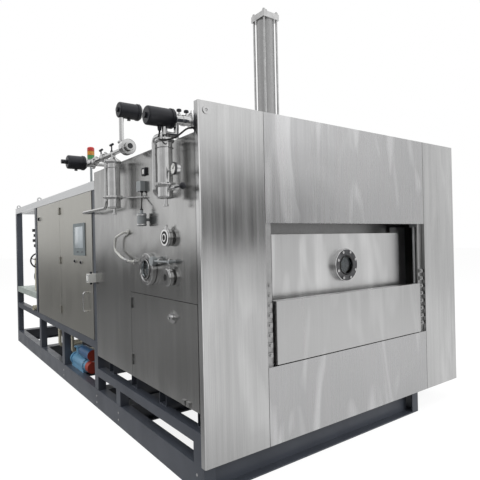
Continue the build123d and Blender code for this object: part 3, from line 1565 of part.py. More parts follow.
save("valve_actuators",
     actuator(front_valve_x, front_actuator_length, front_y, front_line_z, front_actuator_cap),
     actuator(riser_valve_x, riser_actuator_length, riser_y, riser_top, front_actuator_cap),
     actuator(far_valve_x, far_actuator_length, far_y, far_z, far_actuator_cap))

hose_x = front_valve_x - front_actuator_length / 2
hose_z = front_line_z - actuator_radius - actuator_boss_length
hose_points = [
    (hose_x, front_y, hose_z - part_gap),
    (hose_x, front_y, hose_z - 34),
    (hose_x - 18, front_y - 12, hose_z - 66),
    (hose_x - 31, front_y - 48, hose_z - 85),
    (hose_x - 21, front_y - 88, hose_z - 98),
    (hose_x + 9, front_y - 126, hose_z - 98),
    (hose_x + 40, front_y - 156, hose_z - 84),
    (hose_x + 70, front_y - 176, hose_z - 58),
    (hose_x + 100, hose_end_y + 2, hose_z - 30),
    (hose_x + 134, hose_end_y, hose_end_z),
    (hose_fitting_x - part_gap, hose_end_y, hose_end_z),
]
save("air_hose", cord("air hose", hose_points, hose_radius))

# ============================================================ pump under the cabinet
pump = rod("y", pump_x, pump_y, pump_z, pump_length, pump_radius)
for offset in (pump_flange_inset, pump_length - pump_flange_inset - 10):
    pump += rod("y", pump_x, pump_y + offset, pump_z, pump_flange_thickness, pump_flange_radius)
pump += block(pump_x - pump_foot_half, pump_x + pump_foot_half,
              pump_y + pump_flange_inset + pump_flange_thickness / 2,
              pump_y + pump_length - pump_flange_thickness, beam_height, pump_z)
pump_port_y = pump_y + pump_port_offset
pump += rod("z", pump_x, pump_port_y, pump_z, pump_port_height, pump_port_radius)
pump += rod("z", pump_x, pump_port_y, pump_z + pump_port_height - pump_port_flange,
            pump_port_flange, pump_port_flange_radius)
save("circulation_pump", pump)
saddle_top = pump_z + pump_flange_radius
motor_z = saddle_top + motor_radius
motor_y = pump_y - motor_overhang
motor = rod("y", pump_x, motor_y, motor_z, motor_length, motor_radius)
motor += block(pump_x - motor_foot_half, pump_x + motor_foot_half,
               pump_y + pump_flange_inset + 2, pump_y + pump_flange_inset
               + pump_flange_thickness - 2, saddle_top, motor_z)
cowl = rod("y", pump_x, motor_y - 6, pump_z, pump_y - motor_y + 6, pump_radius - 2)
save("circulation_motor", motor, cowl)

# =================================================== compressors and service pipes
compressors = []
deck_top = bay_shelf_z + deck_thickness
crank_z = deck_top + crank_height
riser_pad_y = bay_front + riser_pad_setback
for x0 in (compressor_x, compressor_x + compressor_pitch):
    case_y = bay_front + compressor_setback
    case_end = case_y + compressor_length
    body = rod("y", x0, case_y, crank_z, compressor_length, case_radius)
    for y0 in (case_y - case_flange_thickness / 2, case_end - case_flange_thickness / 2):
        body += rod("y", x0, y0, crank_z, case_flange_thickness, case_flange_radius)
    for y0 in (case_y + foot_inset, case_end - foot_inset - foot_length):
        body += block(x0 - case_radius, x0 + case_radius, y0, y0 + foot_length, deck_top, crank_z)
    for side in (-1, 1):
        body += Pos(x0, riser_pad_y - riser_pad_length / 5, crank_z) * (
            Rot(0, side * 45, 0) * (Pos(0, 0, case_radius)
                                    * Box(head_width, riser_pad_length, head_height)))
    body += rod("z", x0, riser_pad_y, crank_z + case_radius - 10, riser_pad - case_radius + 10,
                riser_pad_radius)
    compressors.append(body)
save("compressors", *compressors)

services = []
# discharge riser with its stack of valves, beside the cabinet
services.append(pipe_run([(compressor_x, riser_pad_y, crank_z + riser_pad),
                          (compressor_x, riser_pad_y, riser_bend_z),
                          (valve_x, valve_y, riser_bend_z + 50),
                          (valve_x, valve_y, roof_rail_bottom)],
                         service_radius, (60, 60)))
for i, radius in enumerate(valve_ring_radii):
    services.append(tube("z", valve_x, valve_y, valve_stack_z + i * valve_ring_pitch,
                         valve_ring_height, radius, service_radius))
wheel_x = valve_x - 10
wheel_y = valve_y - wheel_setback
services.append(rod("y", wheel_x, wheel_y - 20, stand_z, wheel_stem_length, wheel_stem_radius))
services.append(block(wheel_x - stand_half, wheel_x + stand_half, wheel_y - 20 + wheel_stem_length,
                      valve_y + 40, deck_top, stand_z + 2 * stand_half))
# lower pipes of the skid bay
for x0, y0 in drop_pipes:
    services.append(pipe_run([(x0, y0, cabinet_rail_top),
                              (x0, y0, beam_height + drop_pipe_height),
                              (x0 + drop_pipe_reach, y0, beam_height + drop_pipe_height)],
                             drop_pipe_radius, 50))
stub_y = bay_front + bay_post + stub_setback
services.append(tube("x", -stub_overhang, stub_y, cabinet_rail_top + stub_radius,
                     stub_length, stub_radius, stub_radius - 4))
save("service_pipes", *services)

wheel_centre = Pos(wheel_x, wheel_y, stand_z)
wheel = wheel_centre * (Rot(90, 0, 0) * Torus(wheel_radius, rim_radius))
hub = rod("y", wheel_x, wheel_y - hub_length / 2, stand_z, hub_length, hub_radius)
spoke_root = hub_radius - 4
spoke_length = wheel_radius - rim_radius / 2 - spoke_root
for i in range(spoke_count):
    spoke = Pos(0, 0, spoke_root + spoke_length / 2) * Cylinder(spoke_radius, spoke_length)
    hub += wheel_centre * (Rot(0, 360 * i / spoke_count, 0) * spoke)
wheel = wheel + hub
wheel -= rod("y", wheel_x, wheel_y - hub_length / 2 - 1, stand_z, hub_length + 2,
             wheel_stem_radius + running_clearance)
save("valve_handwheel", wheel)

print(len(written), "parts written")
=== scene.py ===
from math import cos, pi, radians, sin

import bmesh
import bpy
from mathutils import Matrix, Vector


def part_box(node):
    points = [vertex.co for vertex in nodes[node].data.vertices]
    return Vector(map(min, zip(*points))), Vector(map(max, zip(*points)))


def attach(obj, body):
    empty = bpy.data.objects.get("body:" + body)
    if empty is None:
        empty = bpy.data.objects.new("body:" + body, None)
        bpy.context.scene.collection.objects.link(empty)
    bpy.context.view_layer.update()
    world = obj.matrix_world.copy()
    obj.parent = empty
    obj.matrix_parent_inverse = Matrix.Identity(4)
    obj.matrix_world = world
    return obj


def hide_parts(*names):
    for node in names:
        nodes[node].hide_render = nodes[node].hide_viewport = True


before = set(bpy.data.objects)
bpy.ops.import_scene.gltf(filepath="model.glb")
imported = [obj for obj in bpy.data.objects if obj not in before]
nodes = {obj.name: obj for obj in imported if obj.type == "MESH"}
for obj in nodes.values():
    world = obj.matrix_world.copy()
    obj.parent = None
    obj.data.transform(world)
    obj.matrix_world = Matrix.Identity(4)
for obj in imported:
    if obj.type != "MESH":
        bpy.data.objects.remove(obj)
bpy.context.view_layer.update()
scene = bpy.context.scene


# ------------------------------------------------------------------ node helpers
class Mat:
    """A Principled material with short calls for its nodes."""

    def __init__(self, name, color, rough, metallic=0.0, **sockets):
        self.mat = bpy.data.materials.new(name)
        self.mat.use_nodes = True
        self.tree = self.mat.node_tree
        self.bsdf = self.tree.nodes["Principled BSDF"]
        self.bsdf.inputs["Base Color"].default_value = (*color, 1)
        self.bsdf.inputs["Roughness"].default_value = rough
        self.bsdf.inputs["Metallic"].default_value = metallic
        for key, value in sockets.items():
            self.bsdf.inputs[key.replace("_", " ")].default_value = value
        self.color = color
        self.mat.diffuse_color = (*color, 1)

    def node(self, kind, **inputs):
        made = self.tree.nodes.new(kind)
        for key, value in inputs.items():
            made.inputs[key].default_value = value
        return made

    def link(self, a, b):
        self.tree.links.new(a, b)

    def place(self, scale):
        """Object coordinates, stretched."""
        coords = self.node("ShaderNodeTexCoord")
        mapping = self.node("ShaderNodeMapping")
        mapping.inputs["Scale"].default_value = scale
        self.link(coords.outputs["Object"], mapping.inputs["Vector"])
        return mapping.outputs["Vector"]

    def noise(self, scale, size=1.0, detail=3.0, distortion=0.0, roughness=0.5):
        """Noise value from 0 to 1, with its scale per metre along each axis."""
        tex = self.node("ShaderNodeTexNoise", Scale=size, Detail=detail,
                        Distortion=distortion, Roughness=roughness)
        self.link(self.place(scale), tex.inputs["Vector"])
        return tex.outputs["Fac"]

    def spread(self, value, low, high, start=0.3, stop=0.7):
        """Map a noise value to a range."""
        span = self.node("ShaderNodeMapRange")
        span.inputs["From Min"].default_value = start
        span.inputs["From Max"].default_value = stop
        span.inputs["To Min"].default_value = low
        span.inputs["To Max"].default_value = high
        self.link(value, span.inputs["Value"])
        return span.outputs["Result"]

    def product(self, a, b):
        times = self.node("ShaderNodeMath")
        times.operation = "MULTIPLY"
        self.link(a, times.inputs[0])
        self.link(b, times.inputs[1])
        return times.outputs["Value"]

    def shade(self, factor):
        """Base colour times a factor."""
        mix = self.node("ShaderNodeVectorMath")
        mix.operation = "SCALE"
        mix.inputs[0].default_value = self.color
        self.link(factor, mix.inputs["Scale"])
        self.link(mix.outputs["Vector"], self.bsdf.inputs["Base Color"])

    def roughen(self, value):
        self.link(value, self.bsdf.inputs["Roughness"])

    def bump(self, heights):
        """Chain of bumps: (height value, distance in metres, strength)."""
        normal = None
        for height, distance, strength in heights:
            made = self.node("ShaderNodeBump", Strength=strength, Distance=distance)
            self.link(height, made.inputs["Height"])
            if normal is not None:
                self.link(normal, made.inputs["Normal"])
            normal = made.outputs["Normal"]
        self.link(normal, self.bsdf.inputs["Normal"])


def stainless(name, color, rough, grain, cloud=(0.9, 0.9, 0.9), streak=0.06, wave=0.0,
              wave_scale=(0.8, 0.8, 0.5), tint=0.05, painted_swirl=0.0):
    """Brushed stainless sheet: fine grain along one axis, soft clouds, slight oil-canning and painted
    reflection swirls.
    """
    m = Mat(name, color, rough, 1.0)
    fine = m.noise(grain, 1.0, 4.0)
    broad = m.noise(cloud, 1.0, 3.0, 0.6)
    lines = m.noise(tuple(g * 0.16 for g in grain), 1.0, 3.0)
    tone = m.product(m.spread(fine, 1 - streak, 1 + streak), m.spread(broad, 1 - tint, 1 + tint))
    # swirls of lighter and darker tone stand in for the room's swirling reflections: painted reflection
    if painted_swirl:
        reflection_swirl = m.noise((2.6, 2.6, 0.55), 1.0, 1.5, 2.2)
        tone = m.product(tone, m.spread(reflection_swirl, 1 - painted_swirl * 0.35, 1 + painted_swirl, 0.50, 0.66))
    m.shade(m.product(tone, m.spread(lines, 1 - streak * 0.8, 1 + streak * 0.8)))
    m.roughen(m.product(m.spread(lines, rough * 0.88, rough * 1.15), m.spread(broad, 0.92, 1.1)))
    heights = [(fine, 0.0004, 0.35)]
    if wave:
        heights.insert(0, (m.noise(wave_scale, 1.0, 2.0, 0.9), wave, 1.0))
    m.bump(heights)
    return m.mat


def paint(name, color, rough, speck=0.05, peel=0.00015, dirt=0.12):
    """Sprayed paint with a slight orange peel, dust and uneven gloss."""
    m = Mat(name, color, rough)
    peel_noise = m.noise((220, 220, 220), 1.0, 2.0)
    blotch = m.noise((3.1, 3.1, 3.1), 1.0, 4.0, 0.4)
    m.shade(m.product(m.spread(blotch, 1 - dirt, 1 + dirt), m.spread(peel_noise, 1 - speck, 1 + speck)))
    m.roughen(m.spread(blotch, rough * 1.2, rough * 0.85))
    m.bump([(peel_noise, peel, 0.5)])
    return m.mat


def plastic(name, color, rough, grain=900, dirt=0.08):
    """Moulded plastic or rubber with a fine spark texture."""
    m = Mat(name, color, rough)
    spark = m.noise((grain, grain, grain), 1.0, 2.0)
    blotch = m.noise((9, 9, 9), 1.0, 3.0)
    m.shade(m.spread(blotch, 1 - dirt, 1 + dirt))
    m.roughen(m.spread(spark, rough * 0.9, rough * 1.12))
    m.bump([(spark, 0.0002, 0.35)])
    return m.mat


def polished(name, color, rough, dirt=0.07):
    """Electropolished tube and fittings."""
    m = Mat(name, color, rough, 1.0)
    blotch = m.noise((14, 14, 14), 1.0, 4.0, 0.3)
    fine = m.noise((300, 300, 300), 1.0, 2.0)
    m.shade(m.spread(blotch, 1 - dirt, 1 + dirt))
    m.roughen(m.product(m.spread(fine, rough * 0.85, rough * 1.25), m.spread(blotch, 0.9, 1.15)))
    m.bump([(fine, 0.0001, 0.2)])
    return m.mat


VERTICAL = (240, 240, 2.2)
ALONG = (240, 2.2, 240)

mats = {
    "facade": stainless("facade_sheet", (0.58, 0.58, 0.585), 0.26, VERTICAL, wave=0.012, streak=0.022,
                        tint=0.04, painted_swirl=0.20),
    "facade_side": stainless("facade_side_column", (0.60, 0.60, 0.60), 0.19, VERTICAL,
                             cloud=(4.0, 4.0, 0.5), wave=0.006, streak=0.05, tint=0.08, painted_swirl=0.08),
    "slot": stainless("slot_door_sheet", (0.59, 0.59, 0.59), 0.30, VERTICAL, wave=0.006, streak=0.02,
                      painted_swirl=0.10),
    "plate": stainless("chamber_plate", (0.74, 0.74, 0.74), 0.32, VERTICAL, wave=0.006, streak=0.025,
                       painted_swirl=0.16),
    "clad": stainless("side_cladding", (0.50, 0.50, 0.495), 0.22, VERTICAL, wave=0.016,
                      wave_scale=(1.1, 1.1, 0.7), tint=0.10, streak=0.045, painted_swirl=0.06),
    "cabinet": stainless("cabinet_doors", (0.56, 0.55, 0.505), 0.34, VERTICAL, streak=0.05, tint=0.05),
    "mill": stainless("mill_plate", (0.48, 0.48, 0.48), 0.38, (60, 60, 60)),
    "rail": stainless("roof_rail", (0.78, 0.79, 0.80), 0.34, ALONG),
    "tube": polished("polished_tube", (0.72, 0.72, 0.72), 0.14),
    "chrome": polished("chrome", (0.80, 0.80, 0.80), 0.09),
    "bolt": polished("bolt_steel", (0.62, 0.62, 0.62), 0.24, 0.15),
    "skid": paint("skid_paint", (0.066, 0.074, 0.092), 0.33),
    "green_rail": paint("machine_rail", (0.42, 0.47, 0.44), 0.42),
    "red": paint("red_paint", (0.38, 0.05, 0.03), 0.4),
    "pump": paint("pump_enamel", (0.13, 0.30, 0.46), 0.35),
    "motor": paint("motor_enamel", (0.035, 0.11, 0.24), 0.36),
    "compressor": paint("compressor_casting", (0.022, 0.055, 0.052), 0.55, speck=0.2, peel=0.0006, dirt=0.3),
    "cream": paint("lagging", (0.56, 0.53, 0.42), 0.6),
    "white": paint("white_lagging", (0.75, 0.75, 0.72), 0.5),
    "iron": paint("black_iron", (0.020, 0.020, 0.022), 0.42),
    "black": plastic("black_moulding", (0.016, 0.017, 0.022), 0.38),
    "rubber": plastic("black_rubber", (0.014, 0.014, 0.014), 0.55),
    "silicone": plastic("silicone", (0.62, 0.62, 0.59), 0.55),
    "grey": plastic("grey_moulding", (0.30, 0.32, 0.33), 0.42),
    "frame": plastic("screen_frame", (0.17, 0.20, 0.21), 0.45),
    "filter": plastic("filter_media", (0.78, 0.78, 0.74), 0.7),
    "dial": plastic("dial_face", (0.80, 0.80, 0.78), 0.45),
    "screen": plastic("screen_glass", (0.46, 0.51, 0.54), 0.16, 200, 0.05),
    "rim": plastic("dark_grey_keys", (0.12, 0.13, 0.14), 0.4),
    "dark_glass": plastic("dark_glass", (0.030, 0.034, 0.038), 0.08, 120, 0.2),
    # dark steel for the dial's bezel, and painted shade on the front sight flange's face
    "shadow": polished("dark_steel_and_painted_shade", (0.13, 0.13, 0.135), 0.30, 0.35),
}


def glowing_lens(name, color):
    """Ribbed coloured lens of a signal light, with a clear coat."""
    m = Mat(name, color, 0.18)
    ribs = m.noise((0.1, 0.1, 260), 1.0, 0.0)
    m.shade(m.spread(ribs, 0.75, 1.15))
    m.bump([(ribs, 0.001, 0.5)])
    m.bsdf.inputs["Coat Weight"].default_value = 0.6
    return m.mat


mats["lens_red"] = glowing_lens("lens_red", (0.50, 0.02, 0.015))
mats["lens_amber"] = glowing_lens("lens_amber", (0.62, 0.25, 0.02))
mats["lens_green"] = glowing_lens("lens_green", (0.05, 0.26, 0.08))


def sight_glass():
    """Thick borosilicate glass with faint smears."""
    m = Mat("sight_glass", (0.72, 0.80, 0.84), 0.03, Transmission_Weight=1.0, IOR=1.47)
    smear = m.noise((18, 18, 18), 1.0, 3.0, 0.5)
    m.shade(m.spread(smear, 0.94, 1.02))
    m.roughen(m.spread(smear, 0.02, 0.08))
    return m.mat


mats["glass"] = sight_glass()

dress = {
    "facade": ("facade_top_panel", "facade_bottom_panel"),
    "facade_side": ("facade_left_column", "facade_right_column"),
    "slot": ("slot_door",),
    "plate": ("chamber_front_plate",),
    "clad": ("left_cladding", "access_door", "outer_panels"),
    "cabinet": ("cabinet_shell", "cabinet_front_door", "cabinet_rear_door"),
    "mill": ("chamber_shell", "pressure_plate", "shelf_1", "shelf_2", "shelf_3", "shelf_4",
             "condenser_vessel", "slot_guides", "lift_cylinders", "isolation_valve_disc",
             "cylinder_barrel"),
    "rail": ("roof_rails",),
    "tube": ("pipe_manifold", "filter_shells", "wall_ports", "front_sight_flange", "ram_rod",
             "condenser_coil"),
    "chrome": ("access_latch",),
    "bolt": ("sight_glass_bolts", "cylinder_tie_rods", "cylinder_end_caps"),
    "skid": ("skid_side_beams", "skid_cross_beams", "skid_posts", "skid_top_rails", "frame_posts"),
    "pump": ("circulation_pump",),
    "motor": ("circulation_motor",),
    "compressor": ("compressors",),
    "cream": ("service_pipes",),
    "iron": ("valve_handwheel",),
    "black": ("valve_actuators", "sampling_valve_knob", "cabinet_lock", "start_button", "stop_button"),
    "rubber": ("gauge_cable", "air_hose"),
    "silicone": ("slot_gasket",),
    "grey": ("stack_light_base", "wall_instruments"),
    "frame": ("hmi_screen",),
    "filter": ("filter_cartridges",),
    "glass": ("sight_glass_panes",),
    "lens_red": ("stack_light_red",),
    "lens_amber": ("stack_light_amber",),
    "lens_green": ("stack_light_green",),
}
for key, names in dress.items():
    for name in names:
        nodes[name].data.materials.clear()
        nodes[name].data.materials.append(mats[key])

# ------------------------------------------------------------------ camera
CAMERA_PLACE = Vector((-2.717, -5.653, 1.670))
CAMERA_YAW = radians(36.084)
CAMERA_PITCH = radians(0.084)
CAMERA_ROLL = radians(-1.245)
SENSOR_WIDTH, LENS = 36, 34.0
ahead = Vector((sin(CAMERA_YAW) * cos(CAMERA_PITCH), cos(CAMERA_YAW) * cos(CAMERA_PITCH), sin(CAMERA_PITCH)))
level = Vector((cos(CAMERA_YAW), -sin(CAMERA_YAW), 0))
above = level.cross(ahead)
right = cos(CAMERA_ROLL) * level + sin(CAMERA_ROLL) * above
up = -sin(CAMERA_ROLL) * level + cos(CAMERA_ROLL) * above
camera_data = bpy.data.cameras.new("camera")
camera_data.sensor_width = SENSOR_WIDTH
camera_data.lens = LENS
camera = bpy.data.objects.new("camera", camera_data)
camera.matrix_world = Matrix(((right.x, up.x, -ahead.x, CAMERA_PLACE.x),
                              (right.y, up.y, -ahead.y, CAMERA_PLACE.y),
                              (right.z, up.z, -ahead.z, CAMERA_PLACE.z),
                              (0, 0, 0, 1)))
scene.collection.objects.link(camera)
scene.camera = camera


# ------------------------------------------------------------------ working coordinates
MM = 0.001
BASE_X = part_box("facade_left_column")[0].x
BASE_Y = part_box("facade_top_panel")[0].y


def at(x, y, z):
    """Millimetres from the facade's front left edge at floor level, as a point in metres."""
    return Vector((BASE_X + x * MM, BASE_Y + y * MM, z * MM))


def box_mm(node):
    """A node's box in the working coordinates: x0, x1, y0, y1, z0, z1."""
    low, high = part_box(node)
    return [v / MM for v in (low.x - BASE_X, high.x - BASE_X, low.y - BASE_Y, high.y - BASE_Y,
                             low.z, high.z)]


# ------------------------------------------------------------------ cords
def laid_cord(name, points, diameter, replaced):
    """Free cord on a NURBS spline through its control points."""
    data = bpy.data.curves.new(name, "CURVE")
    data.dimensions = "3D"
    data.bevel_depth = diameter / 2
    data.bevel_resolution = 5
    data.resolution_u = 10
    data.use_fill_caps = True
    spline = data.splines.new("NURBS")
    spline.points.add(len(points) - 1)
    for point, place in zip(spline.points, points):
        point.co = (*at(*place), 1)
    spline.order_u = 3
    spline.use_endpoint_u = True
    data.materials.append(mats["rubber"])
    piece = bpy.data.objects.new(name, data)
    scene.collection.objects.link(piece)
    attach(piece, "base")
    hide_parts(replaced)


# the cords' ends stop this many millimetres short of the fittings they enter
END_GAP = 0.3
GAUGE_CABLE_DIAMETER, AIR_HOSE_DIAMETER = 0.010, 0.012
GAUGE_X, GAUGE_Y, GAUGE_TOP, SWITCH_Z = -52, 790, 1924, 2080
laid_cord("gauge_lead", [
    (GAUGE_X + 32, GAUGE_Y + 60, SWITCH_Z - END_GAP),
    (GAUGE_X + 32, GAUGE_Y + 60, SWITCH_Z - 30),
    (GAUGE_X + 28, GAUGE_Y + 52, SWITCH_Z - 58),
    (GAUGE_X + 17, GAUGE_Y + 33, SWITCH_Z - 88),
    (GAUGE_X + 5, GAUGE_Y + 8, GAUGE_TOP + 44),
    (GAUGE_X, GAUGE_Y, GAUGE_TOP + 22),
    (GAUGE_X, GAUGE_Y, GAUGE_TOP + END_GAP),
], GAUGE_CABLE_DIAMETER, "gauge_cable")
HOSE_X, HOSE_Y, HOSE_Z = -136, 280, 2442
HOSE_END_X, HOSE_END_Y, HOSE_END_Z, GLAND_X = 31.7, 92, 2426, 12
laid_cord("valve_air_hose", [
    (HOSE_X, HOSE_Y, HOSE_Z - END_GAP),
    (HOSE_X, HOSE_Y, HOSE_Z - 34),
    (HOSE_X - 18, HOSE_Y - 12, HOSE_Z - 66),
    (HOSE_X - 31, HOSE_Y - 48, HOSE_Z - 85),
    (HOSE_X - 21, HOSE_Y - 88, HOSE_Z - 98),
    (HOSE_X + 9, HOSE_Y - 126, HOSE_Z - 98),
    (HOSE_X + 40, HOSE_Y - 156, HOSE_Z - 84),
    (HOSE_X + 70, HOSE_Y - 176, HOSE_Z - 58),
    (HOSE_X + 100, HOSE_END_Y + 2, HOSE_Z - 30),
    (HOSE_X + 134, HOSE_END_Y, HOSE_END_Z),
    (HOSE_END_X, HOSE_END_Y, HOSE_END_Z),
], AIR_HOSE_DIAMETER, "air_hose")


# ------------------------------------------------------------------ mesh builder
AXIS_TURN = {"x": Matrix.Rotation(pi / 2, 4, "Y"), "y": Matrix.Rotation(-pi / 2, 4, "X"),
             "z": Matrix.Identity(4)}
SHARP = radians(34)


class Piece:
    """Mesh built in millimetres of the working coordinates, with a material per part."""

    def __init__(self, name, slot, body="base"):
        self.name, self.slot, self.body = name, slot, body
        self.bm = bmesh.new()
        self.keys = []
        self.key = None

    def use(self, key):
        if key not in self.keys:
            self.keys.append(key)
        self.key = self.keys.index(key)
        return self

    def _claim(self, faces):
        for face in faces:
            face.material_index = self.key

    def turned(self, axis, x, y, z, profile, steps=32):
        """Lathe work: profile is (distance along +axis, radius) from end to end."""
        turn = Matrix.Translation((x, y, z)) @ AXIS_TURN[axis]
        rings = []
        for along, radius in profile:
            if radius <= 0:
                rings.append([self.bm.verts.new(turn @ Vector((0, 0, along)))])
                continue
            rings.append([self.bm.verts.new(turn @ Vector((radius * cos(2 * pi * i / steps),
                                                           radius * sin(2 * pi * i / steps), along)))
                          for i in range(steps)])
        made = []
        for a, b in zip(rings, rings[1:]):
            for i in range(steps):
                j = (i + 1) % steps
                if len(a) == 1 and len(b) == 1:
                    continue
                if len(a) == 1:
                    made.append(self.bm.faces.new((a[0], b[j], b[i])))
                elif len(b) == 1:
                    made.append(self.bm.faces.new((a[i], a[j], b[0])))
                else:
                    made.append(self.bm.faces.new((a[i], a[j], b[j], b[i])))
        for ring, flip in ((rings[0], True), (rings[-1], False)):
            if len(ring) > 2:
                made.append(self.bm.faces.new(ring[::-1] if flip else ring))
        self._claim(made)
        return self

    def ring(self, axis, x, y, z, outer, bore, length, round_=1.5, steps=36):
        """Ring with rounded rims and an open bore, from a point along +axis."""
        profile = [(0, bore), (0, outer - round_), (round_, outer), (length - round_, outer),
                   (length, outer - round_), (length, bore)]
        turn = Matrix.Translation((x, y, z)) @ AXIS_TURN[axis]
        loops = [[self.bm.verts.new(turn @ Vector((r * cos(2 * pi * i / steps),
                                                   r * sin(2 * pi * i / steps), a)))
                  for i in range(steps)] for a, r in profile]
        made = []
        for a, b in zip(loops, loops[1:] + loops[:1]):
            for i in range(steps):
                j = (i + 1) % steps
                made.append(self.bm.faces.new((a[i], a[j], b[j], b[i])))
        self._claim(made)
        return self

    def box(self, x0, x1, y0, y1, z0, z1, bevel=1.0, turn=None, about=None):
        """Box with bevelled edges."""
        size = (x1 - x0, y1 - y0, z1 - z0)
        spot = Matrix.Translation(((x0 + x1) / 2, (y0 + y1) / 2, (z0 + z1) / 2))
        if turn is not None:
            pivot = Matrix.Translation(about or spot.translation)
            spot = pivot @ turn @ pivot.inverted() @ spot
        made = bmesh.ops.create_cube(self.bm, size=1, matrix=spot @ Matrix.Diagonal((*size, 1)))
        verts = made["verts"]
        faces = set(f for v in verts for f in v.link_faces)
        self._claim(faces)
        if bevel:
            edges = set(e for v in verts for e in v.link_edges)
            out = bmesh.ops.bevel(self.bm, geom=list(edges), offset=min(bevel, 0.3 * min(size)),
                                  segments=2, affect="EDGES", profile=0.6)
            self._claim(out["faces"])
        return self

    def hexagon(self, axis, x, y, z, length, radius):
        """Nut or bolt head with its face chamfered."""
        return self.turned(axis, x, y, z, [(0, radius * 0.92), (length * 0.12, radius),
                                           (length * 0.86, radius), (length, radius * 0.9)], 6)

    def swept(self, points, radius, steps=12):
        """Round bar along smooth points."""
        places = [Vector(p) for p in points]
        rings = []
        normal = None
        for i, here in enumerate(places):
            ahead_ = (places[min(i + 1, len(places) - 1)] - places[max(i - 1, 0)]).normalized()
            if normal is None:
                normal = ahead_.orthogonal().normalized()
            normal = (normal - ahead_ * normal.dot(ahead_)).normalized()
            side = ahead_.cross(normal)
            rings.append([self.bm.verts.new(here + radius * (cos(2 * pi * k / steps) * normal
                                                            + sin(2 * pi * k / steps) * side))
                          for k in range(steps)])
        made = []
        for a, b in zip(rings, rings[1:]):
            for i in range(steps):
                j = (i + 1) % steps
                made.append(self.bm.faces.new((a[i], a[j], b[j], b[i])))
        made.append(self.bm.faces.new(rings[0][::-1]))
        made.append(self.bm.faces.new(rings[-1]))
        self._claim(made)
        return self

    def done(self):
        """Make the object, shade it and put it on its body."""
        self.bm.normal_update()
        for edge in self.bm.edges:
            edge.smooth = len(edge.link_faces) == 2 and edge.calc_face_angle(0) < SHARP
        for face in self.bm.faces:
            face.smooth = True
        place = Matrix.Translation(at(0, 0, 0)) @ Matrix.Diagonal((MM, MM, MM, 1))
        self.bm.transform(place)
        bmesh.ops.recalc_face_normals(self.bm, faces=self.bm.faces)
        mesh = bpy.data.meshes.new(self.name)
        self.bm.to_mesh(mesh)
        self.bm.free()
        for key in self.keys:
            mesh.materials.append(mats[key])
        piece = bpy.data.objects.new(self.name, mesh)
        scene.collection.objects.link(piece)
        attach(piece, self.body)
        return piece


def clamp(piece, axis, x, y, z, radius, lug_turn=0, width=22):
    """Clamp ring with its two lugs, bolt and wing nut."""
    half = width / 2
    offset = {"x": (-half, 0, 0), "y": (0, -half, 0), "z": (0, 0, -half)}[axis]
    spot = (x + offset[0], y + offset[1], z + offset[2])
    piece.turned(axis, *spot, [(0, radius - 5), (2, radius), (width * 0.35, radius + 4),
                               (width * 0.65, radius + 4), (width - 2, radius), (width, radius - 5)])
    angle = radians(lug_turn)
    out = {"x": Vector((0, cos(angle), sin(angle))), "y": Vector((cos(angle), 0, sin(angle))),
           "z": Vector((cos(angle), sin(angle), 0))}[axis]
    along = {"x": Vector((1, 0, 0)), "y": Vector((0, 1, 0)), "z": Vector((0, 0, 1))}[axis]
    across = along.cross(out)
    centre = Vector((x, y, z)) + out * (radius + 12)
    for side in (-1, 1):
        middle = centre + across * side * 8
        piece.swept([middle - out * 12, middle + out * 8], 8, 8)
    piece.swept([centre - across * 24, centre + across * 30], 3.5, 8)
    wing = centre + across * 26
    piece.swept([wing - out * 15 + across * 6, wing - out * 5, wing + out * 5, wing + out * 15 + across * 6],
                4.2, 8)
    return piece


def repaint(name, key, inside):
    """Give the faces of a node that lie within a test another material."""
    node = nodes[name]
    node.data.materials.append(mats[key])
    index = len(node.data.materials) - 1
    for face in node.data.polygons:
        centre = (node.matrix_world @ face.center - at(0, 0, 0)) / MM
        if inside(*centre):
            face.material_index = index


def bolt_circle(piece, axis, x, y, z, radius, count, head, size, start=0.0):
    """Ring of hexagon heads that point along +axis."""
    for i in range(count):
        angle = start + 2 * pi * i / count
        a, b = radius * cos(angle), radius * sin(angle)
        spot = {"x": (x, y + a, z + b), "y": (x + a, y, z + b), "z": (x + a, y + b, z)}[axis]
        piece.hexagon(axis, *spot, head, size)


# ------------------------------------------------------------------ filters and front line
shell_box = box_mm("filter_shells")
RING_RADIUS = (shell_box[1] - shell_box[0]) / 2
FILTER_X = (shell_box[0] + shell_box[1]) / 2
FILTER_YS = (shell_box[2] + RING_RADIUS, shell_box[3] - RING_RADIUS)
FILTER_TOP = shell_box[5]
FILTER_JOINT = 2060
PIPE_RADIUS = 19
fittings = Piece("filter_clamps", "stainless_pipe").use("tube")
for spot_y, lug in zip(FILTER_YS, (200, 160)):
    clamp(fittings, "z", FILTER_X, spot_y, FILTER_JOINT, RING_RADIUS, lug, 30)
    clamp(fittings, "z", FILTER_X, spot_y, FILTER_TOP - 1, RING_RADIUS - 6, lug + 20, 26)
    # coned lid between the clamp and the pipe
    fittings.turned("z", FILTER_X, spot_y, FILTER_TOP, [(10, 56), (16, 54), (26, 38), (34, 27), (40, 23)])
    # weld seams round the bowl, and the drain's wing
    for seam in (-88, 250):
        fittings.turned("z", FILTER_X, spot_y, FILTER_JOINT + seam, [(0, 59.8), (1.5, 61), (3, 59.8)])
    fittings.box(FILTER_X - 4, FILTER_X + 4, spot_y - 26, spot_y + 26, shell_box[4] + 2,
                 shell_box[4] + 9, 2)
fittings.done()

